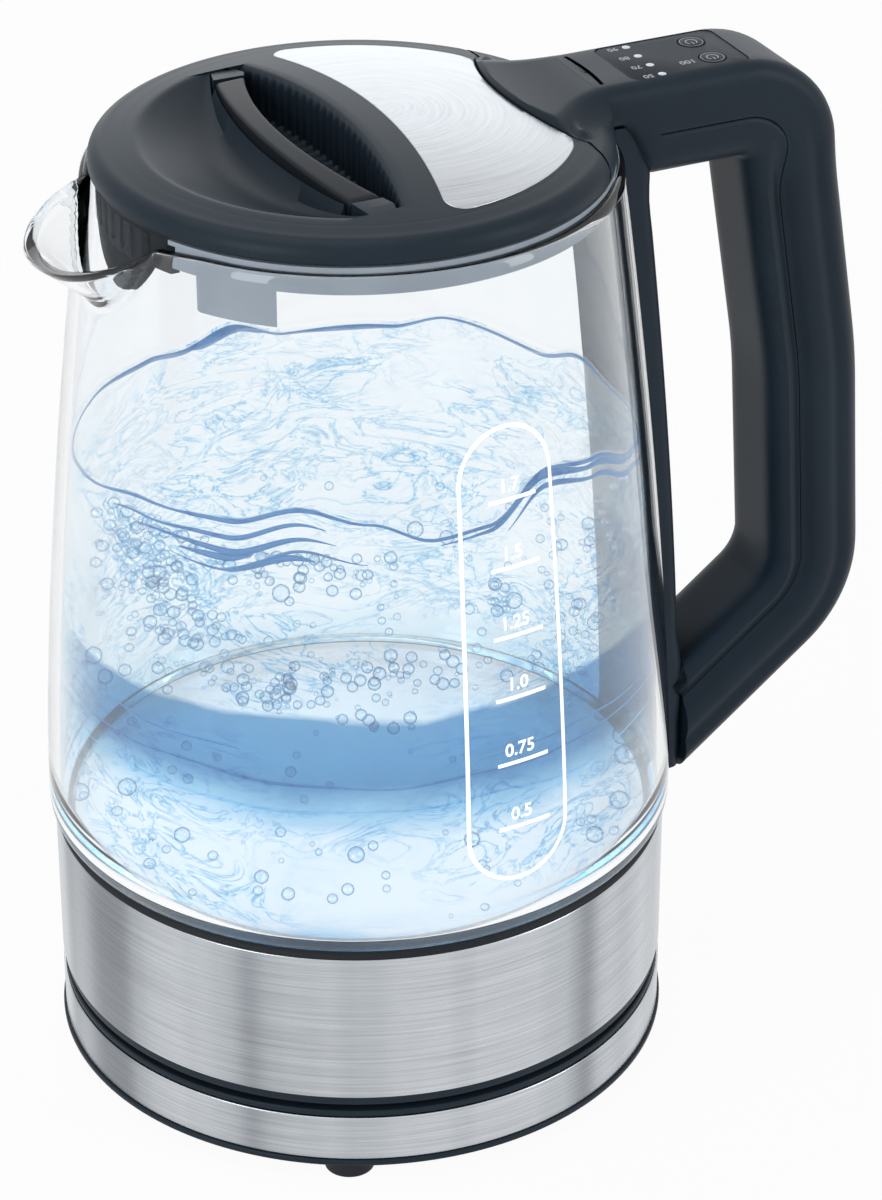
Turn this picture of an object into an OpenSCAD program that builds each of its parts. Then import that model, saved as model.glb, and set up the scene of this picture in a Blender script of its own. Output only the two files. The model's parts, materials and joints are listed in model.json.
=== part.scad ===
// Cordless electric kettle: glass jug on a 360 degree base, hinged lid, D handle.
// Millimetres. +Z is up, the handle points to +X, the spout to -X.
// The origin is on the jug's axis, on the surface that the feet stand on.

/* [Base] */
// Outer radius of the base and of the jug's steel band
band_r = 75; // [70:0.5:80]
// Height of the rubber feet below the base
foot_h = 4; // [3:0.5:5]
// Radius of one rubber foot
foot_r = 6; // [5:0.5:7]
// Depth of the foot's stem inside the base floor
foot_stem = 1.5; // [1:0.1:1.8]
// Height of the dark edge below the base trim
base_edge_h = 1.6; // [1:0.1:3]
// Height of the steel trim round the base
trim_h = 12.1; // [10:0.1:14]
// Thickness of the steel trim and of the steel band
sheet = 0.8; // [0.6:0.1:1]
// Wall of the moulded base covers
base_wall = 2; // [1.6:0.1:2.5]
// Height of the dark edge above the base trim
base_lip_h = 1.8; // [1.5:0.1:2.5]
// Running gap between the base and the jug
lift_gap = 1.8; // [1.2:0.1:2.5]
// Radius of the cord's inlet bush
inlet_r = 3.6; // [3:0.1:4]

/* [Coupling] */
// Radius of the base connector's tower
tower_r = 9.5; // [8:0.5:11]
// Height of the tower above the base's top
tower_h = 13; // [11:0.5:15]
// Radius of the live centre pin
pin_r = 1.5; // [1.2:0.1:2]
// Clearance round every part of the lift-off coupling
couple_gap = 0.6; // [0.4:0.1:1]
// Wall of the coupler's socket
socket_wall = 3; // [2.5:0.1:4]

/* [Jug] */
// Height of the dark edge under the steel band
jug_edge_h = 2.3; // [2:0.1:3]
// Height of the brushed steel band
band_h = 39.4; // [34:0.2:44]
// Height of the dark gasket between band and glass
gasket_h = 1.9; // [1.5:0.1:2.5]
// Widest radius of the glass
glass_r0 = 76.3; // [74:0.1:78]
// Height at which the glass starts to taper
glass_z0 = 70; // [68:1:74]
// Height of the glass rim
glass_top = 231; // [225:0.5:233]
// Wall of the glass
glass_wall = 2.8; // [2.2:0.1:3.2]
// Height of the spout's tip
spout_z = 221; // [218:0.5:224]
// Reach of the spout's tip from the axis
spout_reach = 79; // [76:0.5:82]
// Thickness of the heating plate
plate_t = 1.2; // [1:0.1:1.5]
// Thickness of the heat diffuser
diffuser_t = 3; // [2:0.1:4]
// Radius of the heating element's loop
element_loop_r = 42; // [36:1:48]
// Radius of the heating element's tube
element_r = 3.6; // [3:0.1:4]

/* [Lid] */
// Outer radius of the lid's rim
lid_r = 60.1; // [59.8:0.1:61]
// Step from the lid's rim out to the glass's rim
lid_step = 1.9; // [1.5:0.1:2.5]
// Height of the lid's crown
lid_top_z = 243; // [242:0.5:245]
// Radius of the lid's domed top
dome_r = 325; // [300:5:400]
// Radius at which the dome turns into the rim
shoulder_r = 56; // [55:0.5:57]
// Height of the rim's lower edge
rim_z = 233; // [232.8:0.1:234]
// Wall of the lid's top shell
lid_wall = 2.2; // [1.8:0.1:2.6]
// Outer radius of the brushed steel plate
plate_r = 51; // [49:0.5:52]
// Thickness of the brushed steel plate
plate_sheet = 0.8; // [0.5:0.1:1]
// Outer radius of the thumb bowl
bowl_r = 49; // [47:0.5:50]
// Height of the floor of the grip recess
recess_z = 229.5; // [229:0.1:231]
// Radius of the hollow corner at the thumb bowl's rear edge
scoop_r = 9; // [7:0.5:9.5]
// Height of the lid hinge's axis
hinge_z = 238; // [237.5:0.1:238.5]
// Distance of the lid hinge's axis from the jug's axis
hinge_x = 46; // [45:0.5:47]
// Radius of the lid hinge's pin
hinge_pin_r = 1.5; // [1.2:0.1:1.8]

/* [Handle] */
// Reach of the grip's centre line beyond the jug's widest radius
grip_reach = 46; // [45:0.5:49]
// Half width of the handle
handle_w = 14; // [13.5:0.5:15]
// Half thickness of the handle
handle_t = 12.4; // [11:0.2:13]
// Wall of the handle's mouldings
handle_wall = 2.4; // [2:0.1:3]
// Corner radius of the handle's outer side
handle_corner = 4; // [3:0.5:4.5]
// Corner radius of the handle's finger side
finger_corner = 7; // [5:0.5:8]
// Width of the control panel along the arm
panel_l = 31; // [28:0.5:33]
// Half width of the control panel
panel_w = 10.8; // [10:0.2:11]
// Thickness of the control panel
panel_t = 1.6; // [1.2:0.1:2]
// Radius of the two push buttons
button_r = 3.2; // [2.8:0.1:3.4]
// Travel of the push buttons
button_travel = 0.5; // [0.3:0.1:0.8]
// Stand-off of the mounting strip from the glass
strip_t = 7.5; // [6:0.5:8]
// Half width of the mounting strip
strip_w = 12; // [10:0.5:13]

/* [Hidden] */

// Clearances
part_gap = 0.3;
seat_gap = 0.05;
run_gap = 0.05;
eps = 0.01;
huge = 400;

// Base stack
base_floor_z = foot_h;
trim_z = base_floor_z + base_edge_h;
trim_top = trim_z + trim_h;
base_top = trim_top + base_lip_h;
base_inner_r = band_r - sheet - base_wall;
base_edge_r = band_r + 0.6;
foot_ring_r = band_r - foot_r - 0.4;
foot_angles = [0, 117, -117];
base_screw_ring = 55;
board_t = 1.4;
board_post_h = 3;
board_z = base_floor_z + base_wall + board_post_h + seat_gap;
base_screw_angles = [60, 180, 300];
screw_r = 1.5;
screw_head_r = 2.8;
screw_head_h = 1.8;
flange_r = 20;
flange_t = 1.5;

// Coupling stack
tower_top = base_top + tower_h;
socket_in_r = tower_r + couple_gap;
socket_r = socket_in_r + socket_wall;
socket_z = base_top + lift_gap;
socket_roof_z = tower_top + couple_gap;
socket_top = socket_roof_z + socket_wall;
ring_contact_r = 5.5;
ring_contact_t = 0.8;
pin_top = tower_top - 2;

// Jug stack
jug_z = base_top + lift_gap;
band_z = jug_z + jug_edge_h;
band_top = band_z + band_h;
glass_z = band_top + gasket_h;
// The glass tapers from its widest radius to the rim that the lid needs
glass_rim_r = lid_r + lid_step;
glass_taper = (glass_r0 - glass_rim_r) / pow(glass_top - glass_z0, 1.5);
glass_foot_r = glass_r0 - 3.2;
jug_r = max(glass_r0, band_r);
glass_round = 3.5;
glass_in_r = glass_foot_r - glass_wall;
heat_plate_r = band_r - sheet - 1.6;
heat_z = band_top - 3;
diffuser_r = 56;
jug_floor_t = 2;
jug_hole_r = socket_r + part_gap;

// Collar and lid stack
collar_r = glass_rim_r - glass_wall;
collar_in_r = collar_r - 2.5;
keeper_in_r = collar_in_r - 4.7;
filter_t = 1.8;
filter_half = 23.6;
window_half = filter_half + 0.4;
filter_tongue_r = 19;
filter_pitch = 4.8;
collar_z = 225.6;
collar_flange_z = glass_top + part_gap;
collar_flange_t = 1.1;
plug_r = collar_in_r - 1.5;
plate_edge_bow = 6.5;
plate_edge_half = 50;
ridge_r = 148;
ridge_x = -22.5;
slot_front_r = 102.5;
slot_front_x = -17.5;
slot_back_r = 180.5;
slot_back_x = -2.5;
nose_gap = 0.35;
nose_half = 27;
nose_reach = 7;
knuckle_y = 20;
knuckle_w = 3.4;
knuckle_r = 3.3;
bolt_y = 38;
bolt_w = 5;
bolt_h = 2.4;
bolt_z = 230.6;
bolt_tip_x = -sqrt(pow(plug_r - 0.9, 2) - bolt_y * bolt_y);
bolt_end_x = slot_front_x + 3.5;
spring_x0 = bolt_tip_x + 5.8;
spring_x1 = spring_x0 + 9;
spring_r = 1.1;
spring_y = 33;
lid_screw_ring = plug_r - 14.7;
lid_screw_spots = [for (a = [57, -57, 160, -160]) lid_screw_ring * [cos(a), sin(a)]];

// Handle path: centre line of the D loop in the XZ plane, with a bend radius at each corner
arm_z = lid_top_z - handle_t + 0.1;
arm_x = lid_r + 12.1;
strip_face_x = jug_r + strip_t + 0.6;
grip_x = jug_r + grip_reach;
path_knots = [[arm_x, arm_z, 0], [grip_x - 15.3, arm_z, 14], [grip_x - 3.8, 160, 150], [grip_x, 97, 22],
    [strip_face_x + part_gap, 68, 0]];
strip_z = 54;
strip_top = 217;
bend_steps = 9;
last_ring = 3 * (bend_steps + 1) + 1;
seam_s = -1;
handle_screw_z = [60, 78];
inlet_z = trim_z + trim_h / 2;
bush_r = inlet_r + 1.1;
jug_screw_ring = 62;
jug_screw_angles = [45, 135, 225, 315];
bowl_in_r = 22;
plug_z = collar_z + 0.4;
plug_t = 1.6;
plate_edge_r = (plate_edge_half * plate_edge_half + plate_edge_bow * plate_edge_bow) / (2 * plate_edge_bow);
panel_top = lid_top_z - 0.3;
panel_z = panel_top - panel_t;
board_top = panel_z - 6;
panel_x = arm_x + 9.8;
button_x = panel_x + 8;
button_y = 5.2;
light_x = panel_x - 7.3;
light_pitch = 6;
leg_y = panel_w - 2.6;
leg_xs = [light_x + 3.8, panel_x + panel_l / 2 - 1.9];
board_x = arm_x + 0.6;
board_end = panel_x + panel_l / 2 - 0.2;

// Glass radius at height z
function glass_radius(z) = glass_r0 - glass_taper * pow(max(0, z - glass_z0), 1.5);
// Height of the domed lid at radius r, with a rounded shoulder at the rim
function dome_drop(r) = dome_r - sqrt(dome_r * dome_r - r * r);
function dome_z(r) = lid_top_z - dome_drop(r);
// X of the steel plate's front edge at y
function nose_x(y) = hinge_x - nose_reach + 4.7 * pow(y / 22.6, 2);
// Radius of the hinge nose at y
function nose_radius(y) = sqrt(pow(hinge_x - min(nose_x(y), hinge_x), 2) + pow(lid_top_z - hinge_z, 2));

// Glass outline, inset by d, from the foot to the rim
function glass_outline(d, z0, z1, n) = [for (i = [0:n]) let (z = z0 + (z1 - z0) * i / n)
    [glass_radius(z) - d, z]];
// Rounded foot of the glass
function glass_foot(n) = [for (i = [0:n]) let (t = i / n)
    [glass_foot_r + (glass_radius(glass_z) - glass_foot_r) * sin(90 * t),
        glass_z + glass_round * (1 - cos(90 * t))]];

// Domed top from radius r1 to the axis, lowered by d
function dome_outline(d, r1) = [for (i = [10:-1:0]) let (r = r1 * i / 10) [r, dome_z(r) - d]];
// Rounded shoulder from the rim's lower edge to the dome
function rim_outline() = let (w = lid_r - shoulder_r, h = dome_z(shoulder_r) - rim_z - 1.5)
    [for (a = [0:15:75]) [shoulder_r + w * cos(a), rim_z + 1.5 + h * sin(a)]];

module ring(r_out, r_in, h, z) {
    translate([0, 0, z]) difference() {
        cylinder(r = r_out, h = h, $fn = 128);
        translate([0, 0, -1]) cylinder(r = r_in, h = h + 2, $fn = 128);
    }
}

module revolve(points) {
    rotate_extrude($fn = 128) polygon(points);
}

// Everything on the spout's side of the plane x = at
module front_of(at) {
    translate([at - huge, -huge / 2, 0]) cube([huge, huge, huge]);
}

module screws(ring_r, angles, z, length) {
    for (a = angles) rotate(a) translate([ring_r, 0, z]) screw(length);
}

// A screw whose head is at the bottom, pointing up
module screw(length) {
    cylinder(r = screw_head_r, h = screw_head_h, $fn = 24);
    cylinder(r = screw_r, h = length, $fn = 24);
}

// ---------- Base ----------

module base_lower_cover() {
    color("dimgray") difference() {
        union() {
            translate([0, 0, base_floor_z]) cylinder(r = base_edge_r, h = base_edge_h, $fn = 128);
            translate([0, 0, base_floor_z]) cylinder(r = base_inner_r, h = trim_h - 2, $fn = 128);
        }
        translate([0, 0, base_floor_z + base_wall])
            cylinder(r = base_inner_r - base_wall, h = trim_h, $fn = 128);
        for (a = foot_angles) rotate(a) translate([foot_ring_r, 0, base_floor_z - 1])
            cylinder(r = foot_r - 2, h = 1 + foot_stem, $fn = 48);
        for (a = base_screw_angles) rotate(a) translate([base_screw_ring, 0, base_floor_z - 1]) {
            cylinder(r = screw_r + part_gap, h = base_wall + 2, $fn = 24);
        }
        inlet_bore(bush_r + seat_gap);
    }
    color("dimgray") base_posts();
}

// Hollow posts that carry the terminal board, clear of the floor's screws
module base_posts() {
    for (x = [-18, 18]) translate([x + 30 * sign(x), 0, base_floor_z + base_wall - eps])
        cylinder(r = 3, h = board_post_h, $fn = 32);
}

module inlet_bore(r) {
    translate([base_inner_r - 8, 0, inlet_z]) rotate([0, 90, 0]) cylinder(r = r, h = 20, $fn = 48);
}

module cord_inlet() {
    inlet_out = band_r + 1.2;
    inlet_in = base_inner_r - 7;
    color("dimgray") translate([0, 0, inlet_z]) rotate([0, 90, 0]) difference() {
        union() {
            translate([0, 0, inlet_in]) cylinder(r = bush_r, h = inlet_out - inlet_in, $fn = 48);
            translate([0, 0, inlet_in]) cylinder(r = bush_r + 0.8, h = 2, $fn = 48);
        }
        translate([0, 0, inlet_in - 2]) cylinder(r = inlet_r, h = 20, $fn = 48);
    }
}

module base_trim() {
    color("silver") difference() {
        ring(band_r, band_r - sheet, trim_h, trim_z);
        inlet_bore(bush_r + seat_gap);
    }
}

module base_upper_cover() {
    wall_r = base_inner_r + base_wall - part_gap;
    color("dimgray") difference() {
        union() {
            translate([0, 0, trim_top]) cylinder(r = band_r - 0.4, h = base_lip_h, $fn = 128);
            ring(wall_r, wall_r - base_wall + part_gap * 2, trim_h, trim_z + eps);
            for (a = base_screw_angles)
                rotate(a) translate([base_screw_ring, 0, base_floor_z + base_wall + part_gap])
                cylinder(r = 3.6, h = trim_top - base_floor_z - base_wall, $fn = 32);
        }
        translate([0, 0, trim_top - 1]) cylinder(r = flange_r - 2, h = base_lip_h + 2, $fn = 96);
        translate([0, 0, base_top - 0.9]) cylinder(r = flange_r + seat_gap, h = 2, $fn = 96);
        for (a = base_screw_angles) rotate(a) translate([base_screw_ring, 0, base_floor_z])
            cylinder(r = screw_r, h = 8, $fn = 24);
        inlet_bore(bush_r + seat_gap);
    }
}

module base_feet() {
    color("black") for (a = foot_angles) rotate(a) translate([foot_ring_r, 0, 0]) {
        cylinder(r = foot_r, h = base_floor_z, $fn = 48);
        cylinder(r = foot_r - 2 - seat_gap, h = base_floor_z + foot_stem - seat_gap, $fn = 48);
    }
}

module base_connector() {
    flange_z = base_top - 0.9 + seat_gap;
    color("black") difference() {
        union() {
            translate([0, 0, flange_z]) cylinder(r = flange_r, h = flange_t, $fn = 96);
            translate([0, 0, base_top - 7]) cylinder(r = flange_r - 2 - part_gap, h = 7, $fn = 96);
            translate([0, 0, base_top - 1]) cylinder(r = tower_r, h = tower_h + 1, $fn = 96);
        }
        translate([0, 0, base_top - 8]) cylinder(r = pin_r + 1.8, h = tower_h + 10, $fn = 48);
        ring(ring_contact_r + ring_contact_t + 0.8, ring_contact_r - 0.8, tower_h, base_top + 2);
        translate([0, 0, base_top - 8]) for (a = [0, 180]) rotate(a)
            translate([ring_contact_r + ring_contact_t / 2, 0, 0]) cylinder(r = 0.6, h = 11, $fn = 24);
    }
}

module base_contacts() {
    color("gold") {
        translate([0, 0, base_top - 9]) cylinder(r = pin_r, h = pin_top - base_top + 9, $fn = 48);
        translate([0, 0, base_top - 7 - part_gap - 0.9]) cylinder(r = 4, h = 0.9, $fn = 48);
        ring(ring_contact_r + ring_contact_t, ring_contact_r, 6, base_top + 2 + seat_gap);
        for (a = [0, 180]) rotate(a) translate([ring_contact_r + ring_contact_t / 2, 0, base_top - 8])
            cylinder(r = 0.5, h = 10.5, $fn = 24);
    }
}

module base_terminal_board() {
    half_l = base_screw_ring - 4.5;
    board_half = 16;
    color("darkgreen") translate([-half_l, -board_half, board_z]) cube([2 * half_l, 2 * board_half, board_t]);
}

module base_relay() {
    relay_z = board_z + board_t + seat_gap;
    color("royalblue") translate([-50, -8, relay_z]) cube([22, 16, 5]);
    color("seagreen") translate([30, -9, relay_z]) cube([16, 18, 4.6]);
}

module base_screws() {
    color("silver") screws(base_screw_ring, base_screw_angles, base_floor_z - screw_head_h - seat_gap, 9);
}

// ---------- Lift-off coupling ----------

module coupler_socket() {
    color("ivory") difference() {
        union() {
            translate([0, 0, socket_z]) cylinder(r = socket_r, h = socket_top - socket_z, $fn = 96);
            translate([0, 0, socket_z + jug_floor_t + part_gap + 2])
                cylinder(r = socket_r + 5, h = 2, $fn = 96);
        }
        translate([0, 0, socket_z - 1]) cylinder(r = socket_in_r, h = socket_roof_z - socket_z + 1, $fn = 96);
        translate([0, 0, socket_roof_z - 1]) cylinder(r = pin_r + 0.4, h = socket_wall + 2, $fn = 48);
        translate([0, 0, socket_roof_z - 1]) for (a = [0, 180]) rotate(a)
            translate([ring_contact_r + ring_contact_t / 2, 0, 0])
                cylinder(r = 0.6, h = socket_wall + 2, $fn = 24);
    }
}

module coupler_contacts() {
    contact_top = socket_top + 2;
    color("gold") {
        difference() {
            translate([0, 0, pin_top + couple_gap])
                cylinder(r = pin_r + 0.35, h = contact_top - pin_top - couple_gap, $fn = 48);
            translate([0, 0, pin_top]) cylinder(r = pin_r - 0.6, h = 1.2, $fn = 48);
        }
        for (a = [0, 180]) rotate(a) translate([ring_contact_r + ring_contact_t / 2, 0, tower_top - 4.2])
            cylinder(r = 0.5, h = contact_top - tower_top + 4.2, $fn = 24);
        translate([0, 0, socket_top + seat_gap]) cylinder(r = 3, h = 0.8, $fn = 48);
    }
}

// ---------- Jug's underside and heater ----------

module jug_base_cover() {
    hub_r = jug_hole_r + 7;
    color("dimgray") difference() {
        union() {
            translate([0, 0, jug_z]) cylinder(r = band_r - 0.4, h = jug_edge_h, $fn = 128);
            ring(band_r - sheet - part_gap, band_r - sheet - base_wall, 14, jug_z);
            ring(hub_r, jug_hole_r, 8, jug_z);
        }
        translate([0, 0, jug_z - 1]) cylinder(r = jug_hole_r, h = 12, $fn = 96);
        ring(band_r - 8, hub_r + 2, 1, jug_z - 0.4);
        translate([0, 0, socket_z + jug_floor_t + 2]) cylinder(r = socket_r + 5 + part_gap, h = 10, $fn = 96);
        screw_holes();
    }
    color("dimgray") jug_posts();
}

module screw_holes() {
    for (a = jug_screw_angles) rotate(a) translate([jug_screw_ring, 0, jug_z - 1]) {
        cylinder(r = screw_r + part_gap, h = jug_edge_h + 2, $fn = 24);
        cylinder(r = screw_head_r + seat_gap, h = 1 + screw_head_h + 0.1, $fn = 24);
    }
}

// Posts under the heating plate that the base cover's screws pull on
module jug_posts() {
    post_z = jug_z + jug_edge_h - eps;
    for (a = jug_screw_angles) rotate(a) translate([jug_screw_ring, 0, post_z]) difference() {
        cylinder(r = 4, h = heat_z - post_z - seat_gap, $fn = 32);
        translate([0, 0, -1]) cylinder(r = screw_r + seat_gap, h = 14, $fn = 24);
    }
}

module jug_base_screws() {
    color("silver") screws(jug_screw_ring, jug_screw_angles, jug_z + 0.1 - seat_gap, 12);
}

module steel_band() {
    color("silver") difference() {
        union() {
            ring(band_r, band_r - sheet, band_h, band_z);
            ring(band_r - eps, band_r - 2.4, sheet, band_top - sheet);
        }
    }
}

module glass_gasket() {
    in_r = min(glass_in_r + 0.6, band_r - 4.1);
    color("black") revolve([[in_r, band_top + seat_gap], [band_r, band_top + seat_gap],
        [glass_foot_r + 0.5, glass_z - seat_gap], [in_r, glass_z - seat_gap]]);
}

module heating_plate() {
    color("silver") {
        translate([0, 0, heat_z]) cylinder(r = heat_plate_r - 2.2, h = plate_t, $fn = 128);
        ring(heat_plate_r - 1, heat_plate_r - 2.2, band_top - heat_z, heat_z);
    }
}

module plate_seal() {
    seal_r = heat_plate_r - 1;
    color("white") ring(band_r - sheet - 1.8, seal_r + seat_gap, band_top - sheet - heat_z, heat_z);
}

module heat_diffuser() {
    color("lightgray") difference() {
        translate([0, 0, heat_z - seat_gap - diffuser_t]) cylinder(r = diffuser_r, h = diffuser_t, $fn = 96);
        translate([0, 0, heat_z - diffuser_t - 1]) cylinder(r = 5.4, h = diffuser_t + 2, $fn = 48);
    }
}

module heating_element() {
    tube_z = heat_z - seat_gap - diffuser_t - seat_gap - element_r;
    leg_angle = 150;
    color("gray") {
        translate([0, 0, tube_z]) rotate(-leg_angle) rotate_extrude(angle = 2 * leg_angle, $fn = 96)
            translate([element_loop_r, 0]) circle(r = element_r, $fn = 24);
        for (a = [leg_angle - 6, 6 - leg_angle]) rotate(a) translate([element_loop_r, 0, tube_z - 8])
            cylinder(r = element_r - 0.8, h = 8, $fn = 24);
    }
}

module thermal_cutout() {
    cut_top = heat_z - seat_gap - diffuser_t - seat_gap;
    color("ivory") for (y = [-22, 22]) translate([0, y, cut_top - 7]) cylinder(r = 8, h = 7, $fn = 48);
    color("gold") for (y = [-22, 22]) for (x = [-4, 4]) translate([x - 1.5, y - 0.4, cut_top - 12])
        cube([3, 0.8, 5.1]);
}

module water_sensor() {
    color("silver") {
        translate([0, 0, heat_z - seat_gap - 2.4]) cylinder(r = 5, h = 2.4, $fn = 48);
        translate([0, 0, heat_z - 10]) cylinder(r = 3, h = 8, $fn = 48);
    }
}

// ---------- Glass, spout and collar ----------

// A tapered spout: a cone that leans out of the glass on the -X side
module spout_cone(inset) {
    lean = 28.8;
    start = 10;
    reach = 66;
    grow = tan(22);
    translate([-31.4 - start * sin(lean), 0, 181.7 + start * cos(lean)]) rotate([0, -lean, 0])
        cylinder(r1 = start * grow - inset, r2 = (start + reach) * grow - inset, h = reach, $fn = 96);
}

module glass_body() {
    color("lightblue", 0.4) difference() {
        union() {
            revolve(concat([[0, glass_z]], glass_foot(6),
                glass_outline(0, glass_z + glass_round, glass_top, 30), [[0, glass_top]]));
            intersection() {
                spout_cone(0);
                spout_trim();
            }
        }
        revolve(concat([[0, glass_z - 1], [glass_in_r, glass_z - 1], [glass_in_r, glass_z + 1]],
            glass_outline(glass_wall, glass_z + glass_round, glass_top, 30),
            [[glass_rim_r - glass_wall, glass_top + 1], [0, glass_top + 1]]));
        spout_cone(glass_wall);
    }
}

// Keeps the spout in front of the glass and under its sloping pouring edge
module spout_trim() {
    slope = atan((glass_top - spout_z) / (spout_reach - 55));
    root_x = 52;
    half = 40;
    low_z = 180;
    difference() {
        translate([-spout_reach - 10, -half, low_z])
            cube([spout_reach + 10 - root_x, 2 * half, glass_top - low_z]);
        translate([-spout_reach, -60, spout_z]) rotate([0, -slope, 0]) translate([-60, 0, 0])
            cube([160, 120, 80]);
    }
}

module collar_ring() {
    color("gray") difference() {
        union() {
            ring(collar_r - part_gap - 0.4, collar_in_r, collar_flange_z - collar_z + eps, collar_z);
            ring(lid_r - 0.1, collar_in_r, collar_flange_t, collar_flange_z);
            for (a = [1, -1]) latch_keeper(a);
        }
        for (a = [1, -1]) translate([bolt_tip_x - 1.5, a * bolt_y - bolt_w / 2 - 0.5, bolt_z - 0.6])
            cube([12, bolt_w + 1, bolt_h + 1.2]);
        spout_window();
    }
}

// Opening of the collar towards the spout
module spout_window() {
    translate([-huge / 2 - 40, -window_half, collar_z - 1]) cube([huge / 2, 2 * window_half, 12]);
}

// Block under the collar beside each latch bolt
module latch_keeper(side) {
    keeper_z = collar_z - 8.6;
    sleeve_r = collar_r - part_gap - 0.4;
    intersection() {
        translate([bolt_tip_x - 11.2, side * bolt_y - 9, keeper_z]) cube([12, 18, collar_z - keeper_z + 1]);
        union() {
            ring(sleeve_r, keeper_in_r, collar_z - keeper_z, keeper_z);
            ring(sleeve_r, collar_in_r, 2, collar_z - 0.5);
        }
    }
}

// Slatted frame behind the spout, with a rounded tongue below
module filter_frame() {
    frame_top = collar_flange_z + collar_flange_t;
    slot_z = collar_z - 2.8;
    color("dimgray") difference() {
        intersection() {
            ring(collar_in_r + filter_t, collar_in_r, frame_top - 198, 198);
            union() {
                translate([-80, -filter_half, collar_z - 1.6])
                    cube([45, 2 * filter_half, frame_top - collar_z + 1.6]);
                translate([-80, 0, frame_top]) rotate([0, 90, 0])
                    cylinder(r = filter_tongue_r, h = 45, $fn = 64);
            }
        }
        translate([-80, -huge / 2, frame_top]) cube([huge, huge, 30]);
        for (i = [-3:3]) translate([-80, i * filter_pitch - 1.1, slot_z]) cube([40, 2.2, 7.4]);
    }
}

module filter_mesh() {
    mesh_r = collar_in_r + filter_t + seat_gap;
    mesh_half = 3 * filter_pitch + 1.6;
    color("silver") intersection() {
        ring(mesh_r + 0.25, mesh_r, 8.6, collar_z - 3.4);
        translate([-80, -mesh_half, collar_z - 4]) cube([45, 2 * mesh_half, 18]);
    }
}

// ---------- Lid hinge ----------

// Body of revolution round the hinge's axis that the lid's rear edge turns about
module nose(grow, half) {
    steps = 7;
    pts = [for (i = [0:steps]) let (y = -half + 2 * half * i / steps) [nose_radius(y) + grow, y]];
    translate([hinge_x, 0, hinge_z]) rotate([-90, 0, 0])
        rotate_extrude($fn = 96) polygon(concat([[0, -half]], pts, [[0, half]]));
}

// Solid under the whole domed top with its rim, down to the rim's lower edge
module rim_solid() {
    revolve(concat([[0, rim_z], [lid_r, rim_z]], rim_outline(), dome_outline(0, shoulder_r)));
}

// Solid under the dome at depth d, out to radius r1 and down to z
module dome_solid(d, r1, z) {
    revolve(concat([[0, z], [r1, z]], dome_outline(d, r1)));
}

module hinge_housing() {
    color("dimgray") difference() {
        union() {
            intersection() {
                union() {
                    rim_solid();
                    translate([0, 0, rim_z - 3.2]) cylinder(r = collar_in_r - 0.4, h = 4, $fn = 128);
                }
                behind(hinge_x + part_gap);
            }
            difference() {
                nose(0, nose_half);
                translate([0, -huge / 2, lid_top_z - 0.6]) cube([huge, huge, 20]);
                translate([0, -huge / 2, rim_z - 23.2]) cube([huge, huge, 20]);
            }
            translate([0, 0, rim_z]) linear_extrude(lid_top_z - 0.6 - rim_z) polygon(housing_flare());
            translate([shoulder_r, -handle_w, rim_z])
                cube([arm_x - shoulder_r - part_gap, handle_w * 2, lid_top_z - rim_z]);
        }
        panel_opening(part_gap);
        translate([hinge_x + 12, -handle_w + handle_wall, rim_z + handle_wall])
            cube([huge, (handle_w - handle_wall) * 2, lid_top_z - rim_z - handle_wall * 2]);
        for (s = [1, -1]) knuckle_slot(s * knuckle_y);
        translate([hinge_x, 0, hinge_z]) rotate([90, 0, 0])
            cylinder(r = hinge_pin_r + run_gap, h = nose_half * 2 - 3, center = true, $fn = 48);
        collar_clearance();
    }
}

// Plan of the housing from the nose's width to the arm's
function housing_flare() = [[hinge_x + 1, nose_half - 2], [hinge_x + 5, 19], [shoulder_r + 1, handle_w],
    [shoulder_r + 1, -handle_w], [hinge_x + 5, -19], [hinge_x + 1, 2 - nose_half]];

// Keeps the hinge housing off the collar and the glass rim
module collar_clearance() {
    ring(lid_r + 10, collar_in_r - 0.4, 6, rim_z - 6);
}

// Everything on the handle's side of the plane x = at
module behind(at) {
    translate([at, -huge / 2, 0]) cube([huge, huge, huge]);
}

// Slot in the nose that a lid knuckle and its arm turn in
module knuckle_slot(y) {
    slot_r = nose_reach + 3;
    translate([hinge_x, y, hinge_z]) rotate([90, 0, 0]) {
        cylinder(r = knuckle_r + 0.4, h = knuckle_w + 0.8, center = true, $fn = 64);
        linear_extrude(knuckle_w + 0.8, center = true)
            polygon(concat([[0, 0]], [for (a = [108:13.5:243]) [slot_r * cos(a), slot_r * sin(a)]]));
    }
}

module hinge_pin() {
    color("silver") translate([hinge_x, 0, hinge_z]) rotate([90, 0, 0])
        cylinder(r = hinge_pin_r, h = nose_half * 2 - 4, center = true, $fn = 48);
}

// ---------- Handle ----------

function unit(v) = v / norm(v);
function turn_left(v) = [-v[1], v[0]];

// Bend at knot i: points of the fillet arc between its two straights
function bend(i) = let (p = [path_knots[i][0], path_knots[i][1]],
    a = unit([path_knots[i - 1][0], path_knots[i - 1][1]] - p),
    b = unit([path_knots[i + 1][0], path_knots[i + 1][1]] - p),
    half = acos(a * b) / 2, run = path_knots[i][2] / tan(half),
    centre = p + unit(a + b) * (path_knots[i][2] / sin(half)),
    start = p + a * run, sweep_a = 180 - 2 * half, r0 = start - centre)
    [for (k = [0:bend_steps]) let (t = -sweep_a * k / bend_steps)
        centre + [r0[0] * cos(t) - r0[1] * sin(t), r0[0] * sin(t) + r0[1] * cos(t)]];

function path_points() = concat([[path_knots[0][0], path_knots[0][1]]], bend(1), bend(2), bend(3),
    [[path_knots[4][0], path_knots[4][1]]]);
function tangent(pts, i) = unit(pts[min(i + 1, len(pts) - 1)] - pts[max(i - 1, 0)]);

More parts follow.
